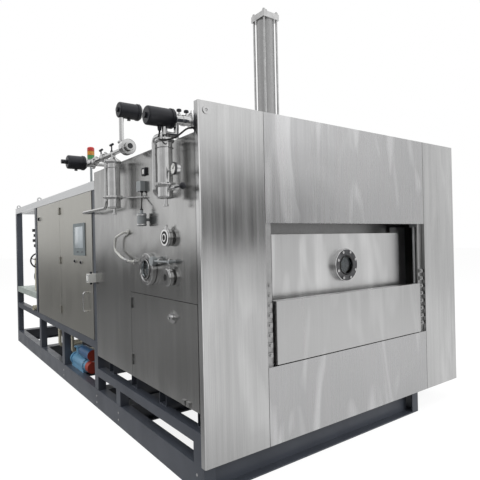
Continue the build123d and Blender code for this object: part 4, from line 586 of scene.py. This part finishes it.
FRONT_LINE_Z, FRONT_VALVE_X, FRONT_FLANGE_X = 2520, -36, 111
STEM_XS = (16, 74)
VALVE_BOLT_CIRCLE, VALVE_BOLTS, VALVE_HEAD_HEIGHT, VALVE_HEAD_RADIUS = 46, 8, 7, 6
front_y = FILTER_YS[0]
valve_trim = Piece("front_valve_trim", "stainless_pipe").use("tube")
clamp(valve_trim, "x", FRONT_FLANGE_X, front_y, FRONT_LINE_Z, 46, 70, 24)
bolt_circle(valve_trim.use("bolt"), "x", FRONT_VALVE_X + 10, front_y, FRONT_LINE_Z,
            VALVE_BOLT_CIRCLE, VALVE_BOLTS, VALVE_HEAD_HEIGHT, VALVE_HEAD_RADIUS, 0.2)
valve_trim.use("tube")
for stem_x in STEM_XS:
    valve_trim.turned("z", stem_x, front_y, FRONT_LINE_Z + 30, [(0, 13), (10, 13), (12, 9), (30, 6)])
valve_trim.ring("x", 34, front_y, FRONT_LINE_Z, 39, 33, 26)
valve_trim.done()
knobs = Piece("front_valve_knobs", "button_dark").use("black")
for stem_x in STEM_XS:
    knobs.turned("z", stem_x, front_y, FRONT_LINE_Z + 58, [(0, 10), (2, 17), (12, 18), (18, 15), (20, 9)], 24)
knobs.done()

# ------------------------------------------------------------------ rear header, riser and far valve
HEADER_Z, HEADER_FRONT = 2436, 880
RISER = (56, 1045, 2760)
FAR = (-139, 1900, 2450)
header_trim = Piece("header_clamps", "stainless_pipe").use("tube")
for joint_y in (1475, 1715):
    clamp(header_trim, "y", FILTER_X, joint_y, HEADER_Z, 36, 60, 34)
header_trim.ring("y", FILTER_X, HEADER_FRONT - 9, HEADER_Z, 36, 22, 12)
header_trim.ring("y", FILTER_X, HEADER_FRONT + 17, HEADER_Z, 62, 58, 66, 3)
clamp(header_trim, "z", FILTER_X, RISER[1], HEADER_Z + 60, 30, 20, 22)
for x, y, z, length in ((*RISER, 76), (*FAR, 79)):
    clamp(header_trim, "x", x + length + 8, y, z, 45, 110, 24)
    bolt_circle(header_trim.use("bolt"), "x", x + 10, y, z,
                VALVE_BOLT_CIRCLE, VALVE_BOLTS, VALVE_HEAD_HEIGHT, VALVE_HEAD_RADIUS, 0.3)
    header_trim.use("tube")
header_trim.done()
header_window = Piece("header_window", "glass").use("dark_glass")
header_window.turned("y", FILTER_X, HEADER_FRONT - 5, HEADER_Z, [(0, 0), (0, 21), (3, 22.5), (6, 22.5)])
header_window.done()
handles = Piece("header_handles", "button_dark").use("black")
for handle_y in (1276, 1541):
    handles.turned("z", FILTER_X, handle_y, HEADER_Z + PIPE_RADIUS - 2,
                   [(0, 12), (14, 12), (16, 6), (58, 6)], 20)
    handles.turned("y", FILTER_X, handle_y - 34, HEADER_Z + 82, [(0, 6), (3, 10), (65, 10), (68, 6)], 20)
handles.done()

# ------------------------------------------------------------------ small gear on the chamber's wall
BUTTON_Y, BUTTON_Z = 826, 2232
button_frame = Piece("wall_button_frame", "button_dark").use("black")
button_frame.box(-13, 0, BUTTON_Y - 36, BUTTON_Y + 36, BUTTON_Z - 32, BUTTON_Z + 32, 3)
button_frame.box(-17, -12, BUTTON_Y - 33, BUTTON_Y + 33, BUTTON_Z - 29, BUTTON_Z + 29, 2)
button_frame.done()
button_cap = Piece("wall_button_cap", "screen_plastic").use("dial")
button_cap.box(-18.5, -15, BUTTON_Y - 15, BUTTON_Y + 15, BUTTON_Z - 18, BUTTON_Z + 18, 1)
button_cap.done()

DIAL_X, DIAL_Y, DIAL_Z, DIAL_RADIUS = -124, 120, 2150, 40
dial = Piece("pressure_dial", "stainless_pipe").use("shadow")
dial.ring("x", DIAL_X - 4, DIAL_Y, DIAL_Z, DIAL_RADIUS + 2, DIAL_RADIUS - 5, 16, 3, 40)
dial.use("dial").turned("x", DIAL_X - 1, DIAL_Y, DIAL_Z, [(0, 0), (0, 36), (2, 36)], 40)
dial.use("black").turned("x", DIAL_X - 4, DIAL_Y, DIAL_Z, [(0, 0), (0, 4), (3, 5), (5, 5)], 20)
dial.box(DIAL_X - 3, DIAL_X - 1.5, DIAL_Y - 1.5, DIAL_Y + 1.5, DIAL_Z, DIAL_Z + 28, 0.4,
         Matrix.Rotation(radians(50), 4, "X"), (DIAL_X, DIAL_Y, DIAL_Z))
for mark in range(9):
    dial.box(DIAL_X - 2, DIAL_X - 0.5, DIAL_Y - 0.8, DIAL_Y + 0.8, DIAL_Z + 26, DIAL_Z + 32, 0,
             Matrix.Rotation(radians(-130 + mark * 32.5), 4, "X"), (DIAL_X, DIAL_Y, DIAL_Z))
dial.done()

glands = Piece("cord_glands", "button_dark").use("black")
glands.turned("z", GAUGE_X + 32, GAUGE_Y + 60, SWITCH_Z - 20,
              [(0, 5.6), (8, 7.2), (9, 10), (12, 11.5), (21, 11.5)], 24)
glands.turned("z", GAUGE_X, GAUGE_Y, GAUGE_TOP - 1, [(0, 12), (9, 12), (11, 9.5), (13, 7.2), (22, 5.6)], 24)
glands.turned("z", HOSE_X, HOSE_Y, HOSE_Z - 21, [(0, 6.6), (7, 8), (8, 11), (12, 12.5), (22, 12.5)], 24)
glands.turned("x", GLAND_X, HOSE_END_Y, HOSE_END_Z, [(0, 6.6), (7, 8), (8, 10.5), (14, 10.5), (21, 10.5)], 24)
glands.done()

gauge_trim = Piece("gauge_trim", "stainless_pipe").use("tube")
for ring_z in (1806, 1880):
    gauge_trim.turned("z", GAUGE_X, GAUGE_Y, ring_z, [(0, 35.5), (2, 38), (10, 38), (12, 35.5)])
gauge_trim.use("bolt")
for screw_y in (838, 902):
    for screw_z in (2088, 2152):
        gauge_trim.turned("x", -42.5, screw_y, screw_z, [(0, 0), (0, 3), (1, 4), (3, 4)], 16)
gauge_trim.done()

ports = box_mm("wall_ports")
PORT_Y, PORT_FACE = 415, ports[0]
UPPER_PORT_Z, LOWER_PORT_Z = 1703, 1419
port_trim = Piece("port_rings", "stainless_pipe").use("chrome")
port_trim.ring("x", PORT_FACE - 5, PORT_Y, UPPER_PORT_Z, 62, 47, 12, 3)
port_trim.ring("x", PORT_FACE - 9, PORT_Y, UPPER_PORT_Z, 30, 20, 10, 2)
port_trim.use("tube").ring("x", PORT_FACE - 4, PORT_Y, LOWER_PORT_Z, 62, 24, 10, 3)
clamp(port_trim, "x", PORT_FACE + 13, PORT_Y, LOWER_PORT_Z, 60, 100, 22)
clamp(port_trim, "x", PORT_FACE + 13, PORT_Y, UPPER_PORT_Z, 60, 80, 22)
port_trim.done()
port_seal_and_shade = Piece("port_seals_and_painted_shade", "black_rubber").use("rubber")
port_seal_and_shade.ring("x", PORT_FACE - 3, PORT_Y, UPPER_PORT_Z, 47, 30, 6, 1)
# the black disc in the upper port stands for the dark reflection on its cap, and the one in the lower port
# for the shade inside its bore: painted reflection and painted shade; the ring above is a rubber seal
port_seal_and_shade.turned("x", PORT_FACE - 2, PORT_Y, UPPER_PORT_Z, [(0, 0), (0, 20), (4, 20)])
port_seal_and_shade.turned("x", PORT_FACE - 2, PORT_Y, LOWER_PORT_Z, [(0, 0), (0, 23), (4, 23)])
port_seal_and_shade.done()

SIGHT_Y, SIGHT_Z, SIGHT_FACE, SIGHT_RADIUS = 770, 1465, -37, 125
sight_trim = Piece("side_sight_rings", "stainless_pipe").use("chrome")
sight_trim.ring("x", SIGHT_FACE - 5, SIGHT_Y, SIGHT_Z, SIGHT_RADIUS - 2, 100, 8, 3, 56)
sight_trim.ring("x", SIGHT_FACE - 9, SIGHT_Y, SIGHT_Z, 76, 67, 12, 3, 56)
sight_trim.done()
sight_seal = Piece("side_sight_seal", "black_rubber").use("rubber")
sight_seal.ring("x", SIGHT_FACE - 3, SIGHT_Y, SIGHT_Z, 82, 75, 6, 1, 48)
sight_seal.done()
LAMP_X, LAMP_Z, LAMP_RING_YS = -31, 1531, (360, 520, 600)
lamp_trim = Piece("sight_lamp_trim", "stainless_pipe").use("chrome")
for ring_y in LAMP_RING_YS:
    lamp_trim.turned("y", LAMP_X, ring_y, LAMP_Z, [(0, 20), (2, 22.5), (10, 22.5), (12, 20)], 28)
lamp_trim.done()

UPPER_END, LOWER_END = (1190, 1765), (1060, 1512)
sample_ends = Piece("sample_tube_ends", "stainless_pipe").use("chrome")
for end_y, end_z in (UPPER_END, LOWER_END):
    sample_ends.hexagon("x", -17, end_y, end_z, 13, 17)
sample_ends.swept([(-44, 1098, 1520), (-44, 1140, 1528), (-44, 1186, 1538)], 14, 20)
sample_ends.swept([(-44, 1106, 1521), (-44, 1122, 1524.5)], 17.5, 6)
sample_ends.done()
repaint("pipe_manifold", "silicone", lambda x, y, z: 1050 < y < 1420 and 1480 < z < 1790)

latch_y, latch_z = 400, 1130
latch_trim = Piece("access_latch_rim", "stainless_pipe", "access_latch").use("chrome")
latch_face = box_mm("access_latch")[0]
latch_trim.ring("x", latch_face - 2, latch_y, latch_z, 26, 17, 6, 2, 36)
latch_trim.use("black").turned("x", latch_face - 1, latch_y, latch_z, [(0, 0), (0, 7), (1, 8), (3, 8)], 24)
latch_trim.done()

# junction box on the post between chamber and cabinet
JUNCTION = (-70, 2064, 2144, 1280, 1366)
repaint("wall_instruments", "white", lambda x, y, z: y > 2000)
junction_trim = Piece("junction_box_trim", "button_dark").use("grey")
jx, jy0, jy1, jz0, jz1 = JUNCTION
junction_trim.box(jx - 3, jx + 1, jy0 + 9, jy1 - 9, jz0 + 9, jz1 - 9, 2)
junction_trim.use("white").box(jx - 5, jx - 2, jy0 + 16, jy1 - 16, jz0 + 16, jz1 - 16, 1.5)
junction_trim.use("bolt")
for screw_y in (jy0 + 6, jy1 - 6):
    for screw_z in (jz0 + 6, jz1 - 6):
        junction_trim.turned("x", jx - 2, screw_y, screw_z, [(0, 0), (0, 2.5), (1, 3.2), (3, 3.2)], 14)
for gland_z in (jz0 - 22, jz1):
    junction_trim.use("black").turned("z", jx + 35, (jy0 + jy1) / 2, gland_z,
                                      [(0, 8), (6, 12), (16, 12), (22, 8)], 20)
junction_trim.done()

# ------------------------------------------------------------------ cabinet front
screen_box = box_mm("hmi_screen")
SCREEN_X, SCREEN_Y0, SCREEN_Y1, SCREEN_Z0, SCREEN_Z1 = screen_box[0], *screen_box[2:6]
screen_glass = Piece("hmi_glass", "glass", "cabinet_front_door").use("screen")
screen_glass.box(SCREEN_X - 1.5, SCREEN_X + 1, SCREEN_Y0 + 62, SCREEN_Y1 - 62, SCREEN_Z0 + 82,
                 SCREEN_Z1 - 38, 0.6)
screen_glass.done()
screen_trim = Piece("hmi_keys", "button_dark", "cabinet_front_door").use("rim")
screen_trim.ring("x", SCREEN_X - 1, (SCREEN_Y0 + SCREEN_Y1) / 2, SCREEN_Z0 + 40, 12, 8, 3, 1)
for key in range(6):
    key_y = SCREEN_Y0 + 70 + key * 24 + (88 if key > 2 else 0)
    screen_trim.box(SCREEN_X - 2, SCREEN_X + 1, key_y, key_y + 16, SCREEN_Z0 + 32, SCREEN_Z0 + 48, 1)
screen_trim.done()

for button in ("start_button", "stop_button"):
    b = box_mm(button)
    b_y, b_z = (b[2] + b[3]) / 2, (b[4] + b[5]) / 2
    bezel = Piece(f"{button}_bezel", "stainless_pipe", "cabinet_front_door").use("bolt")
    bezel.ring("x", -9, b_y, b_z, (b[3] - b[2]) / 2 + 9, (b[3] - b[2]) / 2 + 2, 9, 2)
    bezel.done()
    cap = Piece(f"{button}_cap", "button_dark", button).use("black")
    cap.ring("x", b[0] - 1, b_y, b_z, (b[3] - b[2]) / 2 - 3, (b[3] - b[2]) / 2 - 6, 2, 0.6)
    cap.done()
HANDLE_YS = (2310, 2350)
repaint("cabinet_front_door", "chrome", lambda x, y, z: x < -12 and HANDLE_YS[0] < y < HANDLE_YS[1])
LOCK_Y, LOCK_Z = 4460, 2040
lock_rim = Piece("cabinet_lock_rim", "stainless_pipe", "cabinet_rear_door").use("white")
lock_rim.ring("x", -3.4, LOCK_Y, LOCK_Z, 40, 33, 3.4, 1.2, 40)
lock_rim.done()

# dark rubber in the seam between the doors
seal = Piece("door_seams", "black_rubber").use("rubber")
front_box, rear_box = box_mm("cabinet_front_door"), box_mm("cabinet_rear_door")
seam_y = (front_box[3] + rear_box[2]) / 2
seal.box(4, 9, seam_y - 2.5, seam_y + 2.5, front_box[4] + 4, front_box[5] - 4, 0.8)
seal.done()

# ------------------------------------------------------------------ facade and loading slot
left_column = box_mm("facade_left_column")
# a chrome strip down the facade's left corner stands in for the bright highlight on its rounded edge: painted
# highlight
trim = Piece("facade_corner_highlight_strip", "stainless_brushed").use("chrome")
trim.box(-1.2, 6, -1.4, 3, left_column[4] + 3, left_column[5] - 3, 1.2)
trim.use("bolt").turned("y", 62, -4, left_column[5] - 62, [(0, 0), (0, 9), (2, 12), (5, 12)], 28)
trim.done()
# the masts behind the slot door get the brighter rail steel: painted light that lifts them out of the slot's
# shade
repaint("slot_guides", "rail", lambda x, y, z: y > 60)

sight_box = box_mm("front_sight_flange")
SIGHT_CX, SIGHT_CZ = (sight_box[0] + sight_box[1]) / 2, (sight_box[4] + sight_box[5]) / 2
FLANGE = (sight_box[1] - sight_box[0]) / 2
front_seal = Piece("front_sight_seal", "black_rubber").use("rubber")
front_seal.ring("y", SIGHT_CX, sight_box[2] - 3, SIGHT_CZ, FLANGE * 0.60, FLANGE * 0.52, 8, 1, 56)
front_seal.done()
front_rim = Piece("front_sight_rim", "stainless_pipe").use("chrome")
front_rim.ring("y", SIGHT_CX, sight_box[2] - 2, SIGHT_CZ, FLANGE - 0.5, FLANGE - 7, 6, 2, 64)
front_rim.done()
# the flange's front face gets dark steel that stands in for the shade between its bolts: painted shade
repaint("front_sight_flange", "shadow", lambda x, y, z: y < sight_box[2] + 1)

# ------------------------------------------------------------------ skid, pump and rear bay
PUMP_FRONT, VALVE_RISER_RIGHT, VALVE_RISER_BOTTOM, BAY_RAIL_BOTTOM = 2700, 160, 1300, 860
repaint("circulation_motor", "red", lambda x, y, z: y < PUMP_FRONT)
PUMP_X, PUMP_Z, PUMP_FLANGE_YS, PUMP_BOLT_CIRCLE = 130, 272, (2752, 3212), 70
pump_trim = Piece("pump_bolts", "bolt_steel").use("bolt")
for flange_y in PUMP_FLANGE_YS:
    bolt_circle(pump_trim, "y", PUMP_X, flange_y, PUMP_Z, PUMP_BOLT_CIRCLE, 8, 8, 7, 0.2)
pump_trim.done()
repaint("service_pipes", "iron", lambda x, y, z: z > VALVE_RISER_BOTTOM and x < VALVE_RISER_RIGHT)
repaint("skid_top_rails", "green_rail", lambda x, y, z: z > BAY_RAIL_BOTTOM)

POST_YS = (1515, 2105, 3330, 4540)
beam = box_mm("skid_side_beams")
skid_trim = Piece("skid_bolts", "bolt_steel").use("bolt")
for bolt_y in (beam[2] + 90, *POST_YS, beam[3] - 90):
    for bolt_z in (55, 120):
        skid_trim.turned("x", -3 + beam[0], bolt_y, bolt_z, [(0, 0), (0, 9), (2, 11), (4, 11)], 6)
skid_trim.done()

weld = Piece("skid_welds", "skid_paint").use("skid")
posts = box_mm("skid_posts")
for post_y in POST_YS:
    weld.swept([(posts[0] - 1, post_y - 40, beam[5] + 1), (posts[0] - 1, post_y + 40, beam[5] + 1)], 4, 8)
weld.done()

# ribs and flange bolts of the compressors
COMPRESSOR_XS, CRANK_Z, CASE_RADIUS, CASE_BOLT_CIRCLE = (330, 1250), 1148, 150, 163
CASE_FLANGE_Y, RIB_START_Y, RIB_PITCH, RIB_COUNT = 4892, 5010, 62, 8
ribs = Piece("compressor_ribs", "compressor_green").use("compressor")
case_bolts = Piece("compressor_bolts", "bolt_steel").use("bolt")
for case_x in COMPRESSOR_XS:
    for rib in range(RIB_COUNT):
        ribs.ring("y", case_x, RIB_START_Y + rib * RIB_PITCH, CRANK_Z,
                  CASE_RADIUS + 9, CASE_RADIUS - 2, 8, 2, 48)
    bolt_circle(case_bolts, "y", case_x, CASE_FLANGE_Y, CRANK_Z, CASE_BOLT_CIRCLE, 12, 9, 9)
ribs.done()
case_bolts.done()


# ------------------------------------------------------------------ floor, world and lamps
FLOOR_GLOW, FLOOR_LEFT_GLOW, FLOOR_FRONT_GLOW = 0.88, 0.0, 0.58
FLOOR_GREY, FLOOR_HALF = 0.18, 60
FLOOR_LEFT_X, FLOOR_FRONT_X = -2.2, -0.2
EVEN_LIGHT = 0.55


def white_floor():
    """White studio floor that keeps a soft shadow."""
    mat = bpy.data.materials.new("studio_floor")
    mat.use_nodes = True
    tree = mat.node_tree
    tree.nodes.clear()
    out = tree.nodes.new("ShaderNodeOutputMaterial")
    diffuse = tree.nodes.new("ShaderNodeBsdfDiffuse")
    diffuse.inputs["Color"].default_value = (FLOOR_GREY, FLOOR_GREY, FLOOR_GREY, 1)
    glow = tree.nodes.new("ShaderNodeEmission")
    glow.inputs["Color"].default_value = (1, 1, 1, 1)
    path = tree.nodes.new("ShaderNodeLightPath")
    seen = tree.nodes.new("ShaderNodeMath")
    seen.operation = "MAXIMUM"
    tree.links.new(path.outputs["Is Camera Ray"], seen.inputs[0])
    tree.links.new(path.outputs["Is Transmission Ray"], seen.inputs[1])
    mirrored = tree.nodes.new("ShaderNodeMath")
    mirrored.operation = "MULTIPLY"
    tree.links.new(path.outputs["Is Glossy Ray"], mirrored.inputs[0])
    # the metal mirrors a brighter floor in front of the facade than beside the left wall
    coords = tree.nodes.new("ShaderNodeTexCoord")
    split = tree.nodes.new("ShaderNodeSeparateXYZ")
    tree.links.new(coords.outputs["Object"], split.inputs["Vector"])
    span = tree.nodes.new("ShaderNodeMapRange")
    span.inputs["From Min"].default_value = FLOOR_LEFT_X
    span.inputs["From Max"].default_value = FLOOR_FRONT_X
    span.inputs["To Min"].default_value = FLOOR_LEFT_GLOW
    span.inputs["To Max"].default_value = FLOOR_FRONT_GLOW
    tree.links.new(split.outputs["X"], span.inputs["Value"])
    tree.links.new(span.outputs["Result"], mirrored.inputs[1])
    direct = tree.nodes.new("ShaderNodeMath")
    direct.operation = "MULTIPLY"
    direct.inputs[1].default_value = FLOOR_GLOW
    tree.links.new(seen.outputs["Value"], direct.inputs[0])
    strength = tree.nodes.new("ShaderNodeMath")
    strength.operation = "ADD"
    tree.links.new(direct.outputs["Value"], strength.inputs[0])
    tree.links.new(mirrored.outputs["Value"], strength.inputs[1])
    tree.links.new(strength.outputs["Value"], glow.inputs["Strength"])
    add = tree.nodes.new("ShaderNodeAddShader")
    tree.links.new(diffuse.outputs["BSDF"], add.inputs[0])
    tree.links.new(glow.outputs["Emission"], add.inputs[1])
    tree.links.new(add.outputs["Shader"], out.inputs["Surface"])
    mesh = bpy.data.meshes.new("floor")
    half = FLOOR_HALF
    corners = [(-half, -half, 0), (half, -half, 0), (half, half, 0), (-half, half, 0)]
    mesh.from_pydata(corners, [], [(0, 1, 2, 3)])
    floor = bpy.data.objects.new("floor", mesh)
    floor.data.materials.append(mat)
    scene.collection.objects.link(floor)


white_floor()


# patches of the room that the metal mirrors: direction, inner and outer reach, brightness
MIRRORED_PATCHES = (
    ((0.585, -0.810, -0.02), 0.05, 0.30, 0.04),
    ((0.570, -0.790, 0.27), 0.05, 0.30, 1.45),
    ((-0.560, 0.828, 0.00), 0.05, 0.26, 2.0),
    ((-0.180, 0.984, 0.03), 0.05, 0.22, 1.35),
)


def build_world():
    """Even pale light, white to the camera, with soft bright and dark bands for metal to mirror."""
    world = bpy.data.worlds.new("studio")
    world.use_nodes = True
    tree = world.node_tree
    tree.nodes.clear()
    new = tree.nodes.new
    out = new("ShaderNodeOutputWorld")
    coords = new("ShaderNodeTexCoord")
    split = new("ShaderNodeSeparateXYZ")
    tree.links.new(coords.outputs["Generated"], split.inputs["Vector"])
    ramp = new("ShaderNodeValToRGB")
    ramp.color_ramp.interpolation = "EASE"
    stops = [(0.0, 0.34), (0.44, 0.40), (0.49, 0.66), (0.56, 0.78), (0.66, 0.92), (0.80, 0.74), (1.0, 0.9)]
    elements = ramp.color_ramp.elements
    elements[0].position, elements[0].color = stops[0][0], (stops[0][1],) * 3 + (1,)
    elements[1].position, elements[1].color = stops[-1][0], (stops[-1][1],) * 3 + (1,)
    for spot, value in stops[1:-1]:
        element = elements.new(spot)
        element.color = (value, value, value, 1)
    height = new("ShaderNodeMapRange")
    height.inputs["From Min"].default_value = -1
    height.inputs["From Max"].default_value = 1
    tree.links.new(split.outputs["Z"], height.inputs["Value"])
    tree.links.new(height.outputs["Result"], ramp.inputs["Fac"])
    bands = new("ShaderNodeTexNoise")
    bands.inputs["Scale"].default_value = 1.0
    bands.inputs["Detail"].default_value = 3.0
    stretch = new("ShaderNodeMapping")
    stretch.inputs["Scale"].default_value = (5.5, 5.5, 0.5)
    tree.links.new(coords.outputs["Generated"], stretch.inputs["Vector"])
    tree.links.new(stretch.outputs["Vector"], bands.inputs["Vector"])
    band_range = new("ShaderNodeMapRange")
    band_range.inputs["From Min"].default_value = 0.35
    band_range.inputs["From Max"].default_value = 0.65
    band_range.inputs["To Min"].default_value = 0.62
    band_range.inputs["To Max"].default_value = 1.35
    tree.links.new(bands.outputs["Fac"], band_range.inputs["Value"])
    # the side that the left wall mirrors is darker than the side that the facade mirrors
    side = new("ShaderNodeMapRange")
    side.inputs["From Min"].default_value = -0.7
    side.inputs["From Max"].default_value = 0.5
    side.inputs["To Min"].default_value = 0.77
    side.inputs["To Max"].default_value = 1.0
    tree.links.new(split.outputs["X"], side.inputs["Value"])
    both = new("ShaderNodeMath")
    both.operation = "MULTIPLY"
    tree.links.new(band_range.outputs["Result"], both.inputs[0])
    tree.links.new(side.outputs["Result"], both.inputs[1])
    level_all = both.outputs["Value"]
    for direction, inner, outer, factor in MIRRORED_PATCHES:
        gap = new("ShaderNodeVectorMath")
        gap.operation = "DISTANCE"
        gap.inputs[1].default_value = direction
        tree.links.new(coords.outputs["Generated"], gap.inputs[0])
        patch = new("ShaderNodeMapRange")
        patch.interpolation_type = "SMOOTHSTEP"
        patch.inputs["From Min"].default_value = inner
        patch.inputs["From Max"].default_value = outer
        patch.inputs["To Min"].default_value = factor
        patch.inputs["To Max"].default_value = 1.0
        tree.links.new(gap.outputs["Value"], patch.inputs["Value"])
        times = new("ShaderNodeMath")
        times.operation = "MULTIPLY"
        tree.links.new(level_all, times.inputs[0])
        tree.links.new(patch.outputs["Result"], times.inputs[1])
        level_all = times.outputs["Value"]
    mirror = new("ShaderNodeBackground")
    tree.links.new(ramp.outputs["Color"], mirror.inputs["Color"])
    tree.links.new(level_all, mirror.inputs["Strength"])
    even = new("ShaderNodeBackground")
    even.inputs["Color"].default_value = (1, 1, 1, 1)
    even.inputs["Strength"].default_value = EVEN_LIGHT
    white = new("ShaderNodeBackground")
    white.inputs["Color"].default_value = (1, 1, 1, 1)
    white.inputs["Strength"].default_value = 1.0
    path = new("ShaderNodeLightPath")
    seen = new("ShaderNodeMath")
    seen.operation = "MAXIMUM"
    tree.links.new(path.outputs["Is Camera Ray"], seen.inputs[0])
    tree.links.new(path.outputs["Is Transmission Ray"], seen.inputs[1])
    first = new("ShaderNodeMixShader")
    second = new("ShaderNodeMixShader")
    tree.links.new(path.outputs["Is Glossy Ray"], first.inputs["Fac"])
    tree.links.new(even.outputs["Background"], first.inputs[1])
    tree.links.new(mirror.outputs["Background"], first.inputs[2])
    tree.links.new(seen.outputs["Value"], second.inputs["Fac"])
    tree.links.new(first.outputs["Shader"], second.inputs[1])
    tree.links.new(white.outputs["Background"], second.inputs[2])
    tree.links.new(second.outputs["Shader"], out.inputs["Surface"])
    scene.world = world


build_world()


def softbox(name, place, aim, size, power):
    """Rectangular area lamp aimed at a point."""
    data = bpy.data.lights.new(name, "AREA")
    data.shape = "RECTANGLE"
    data.size, data.size_y = size
    data.energy = power
    lamp = bpy.data.objects.new(name, data)
    lamp.location = place
    lamp.rotation_euler = (Vector(aim) - Vector(place)).to_track_quat("-Z", "Y").to_euler()
    lamp.visible_glossy = False
    scene.collection.objects.link(lamp)


softbox("overhead", (-1.0, -1.0, 9.0), (0.2, 0.0, 1.0), (9, 12), 620)
softbox("front_key", (5.5, -10.5, 5.0), (0.5, -3.0, 1.4), (3.0, 5.0), 420)
softbox("left_fill", (-9.0, 1.5, 4.0), (-1.2, 0.0, 1.4), (6.0, 4.0), 260)

scene.view_settings.view_transform = "Standard"
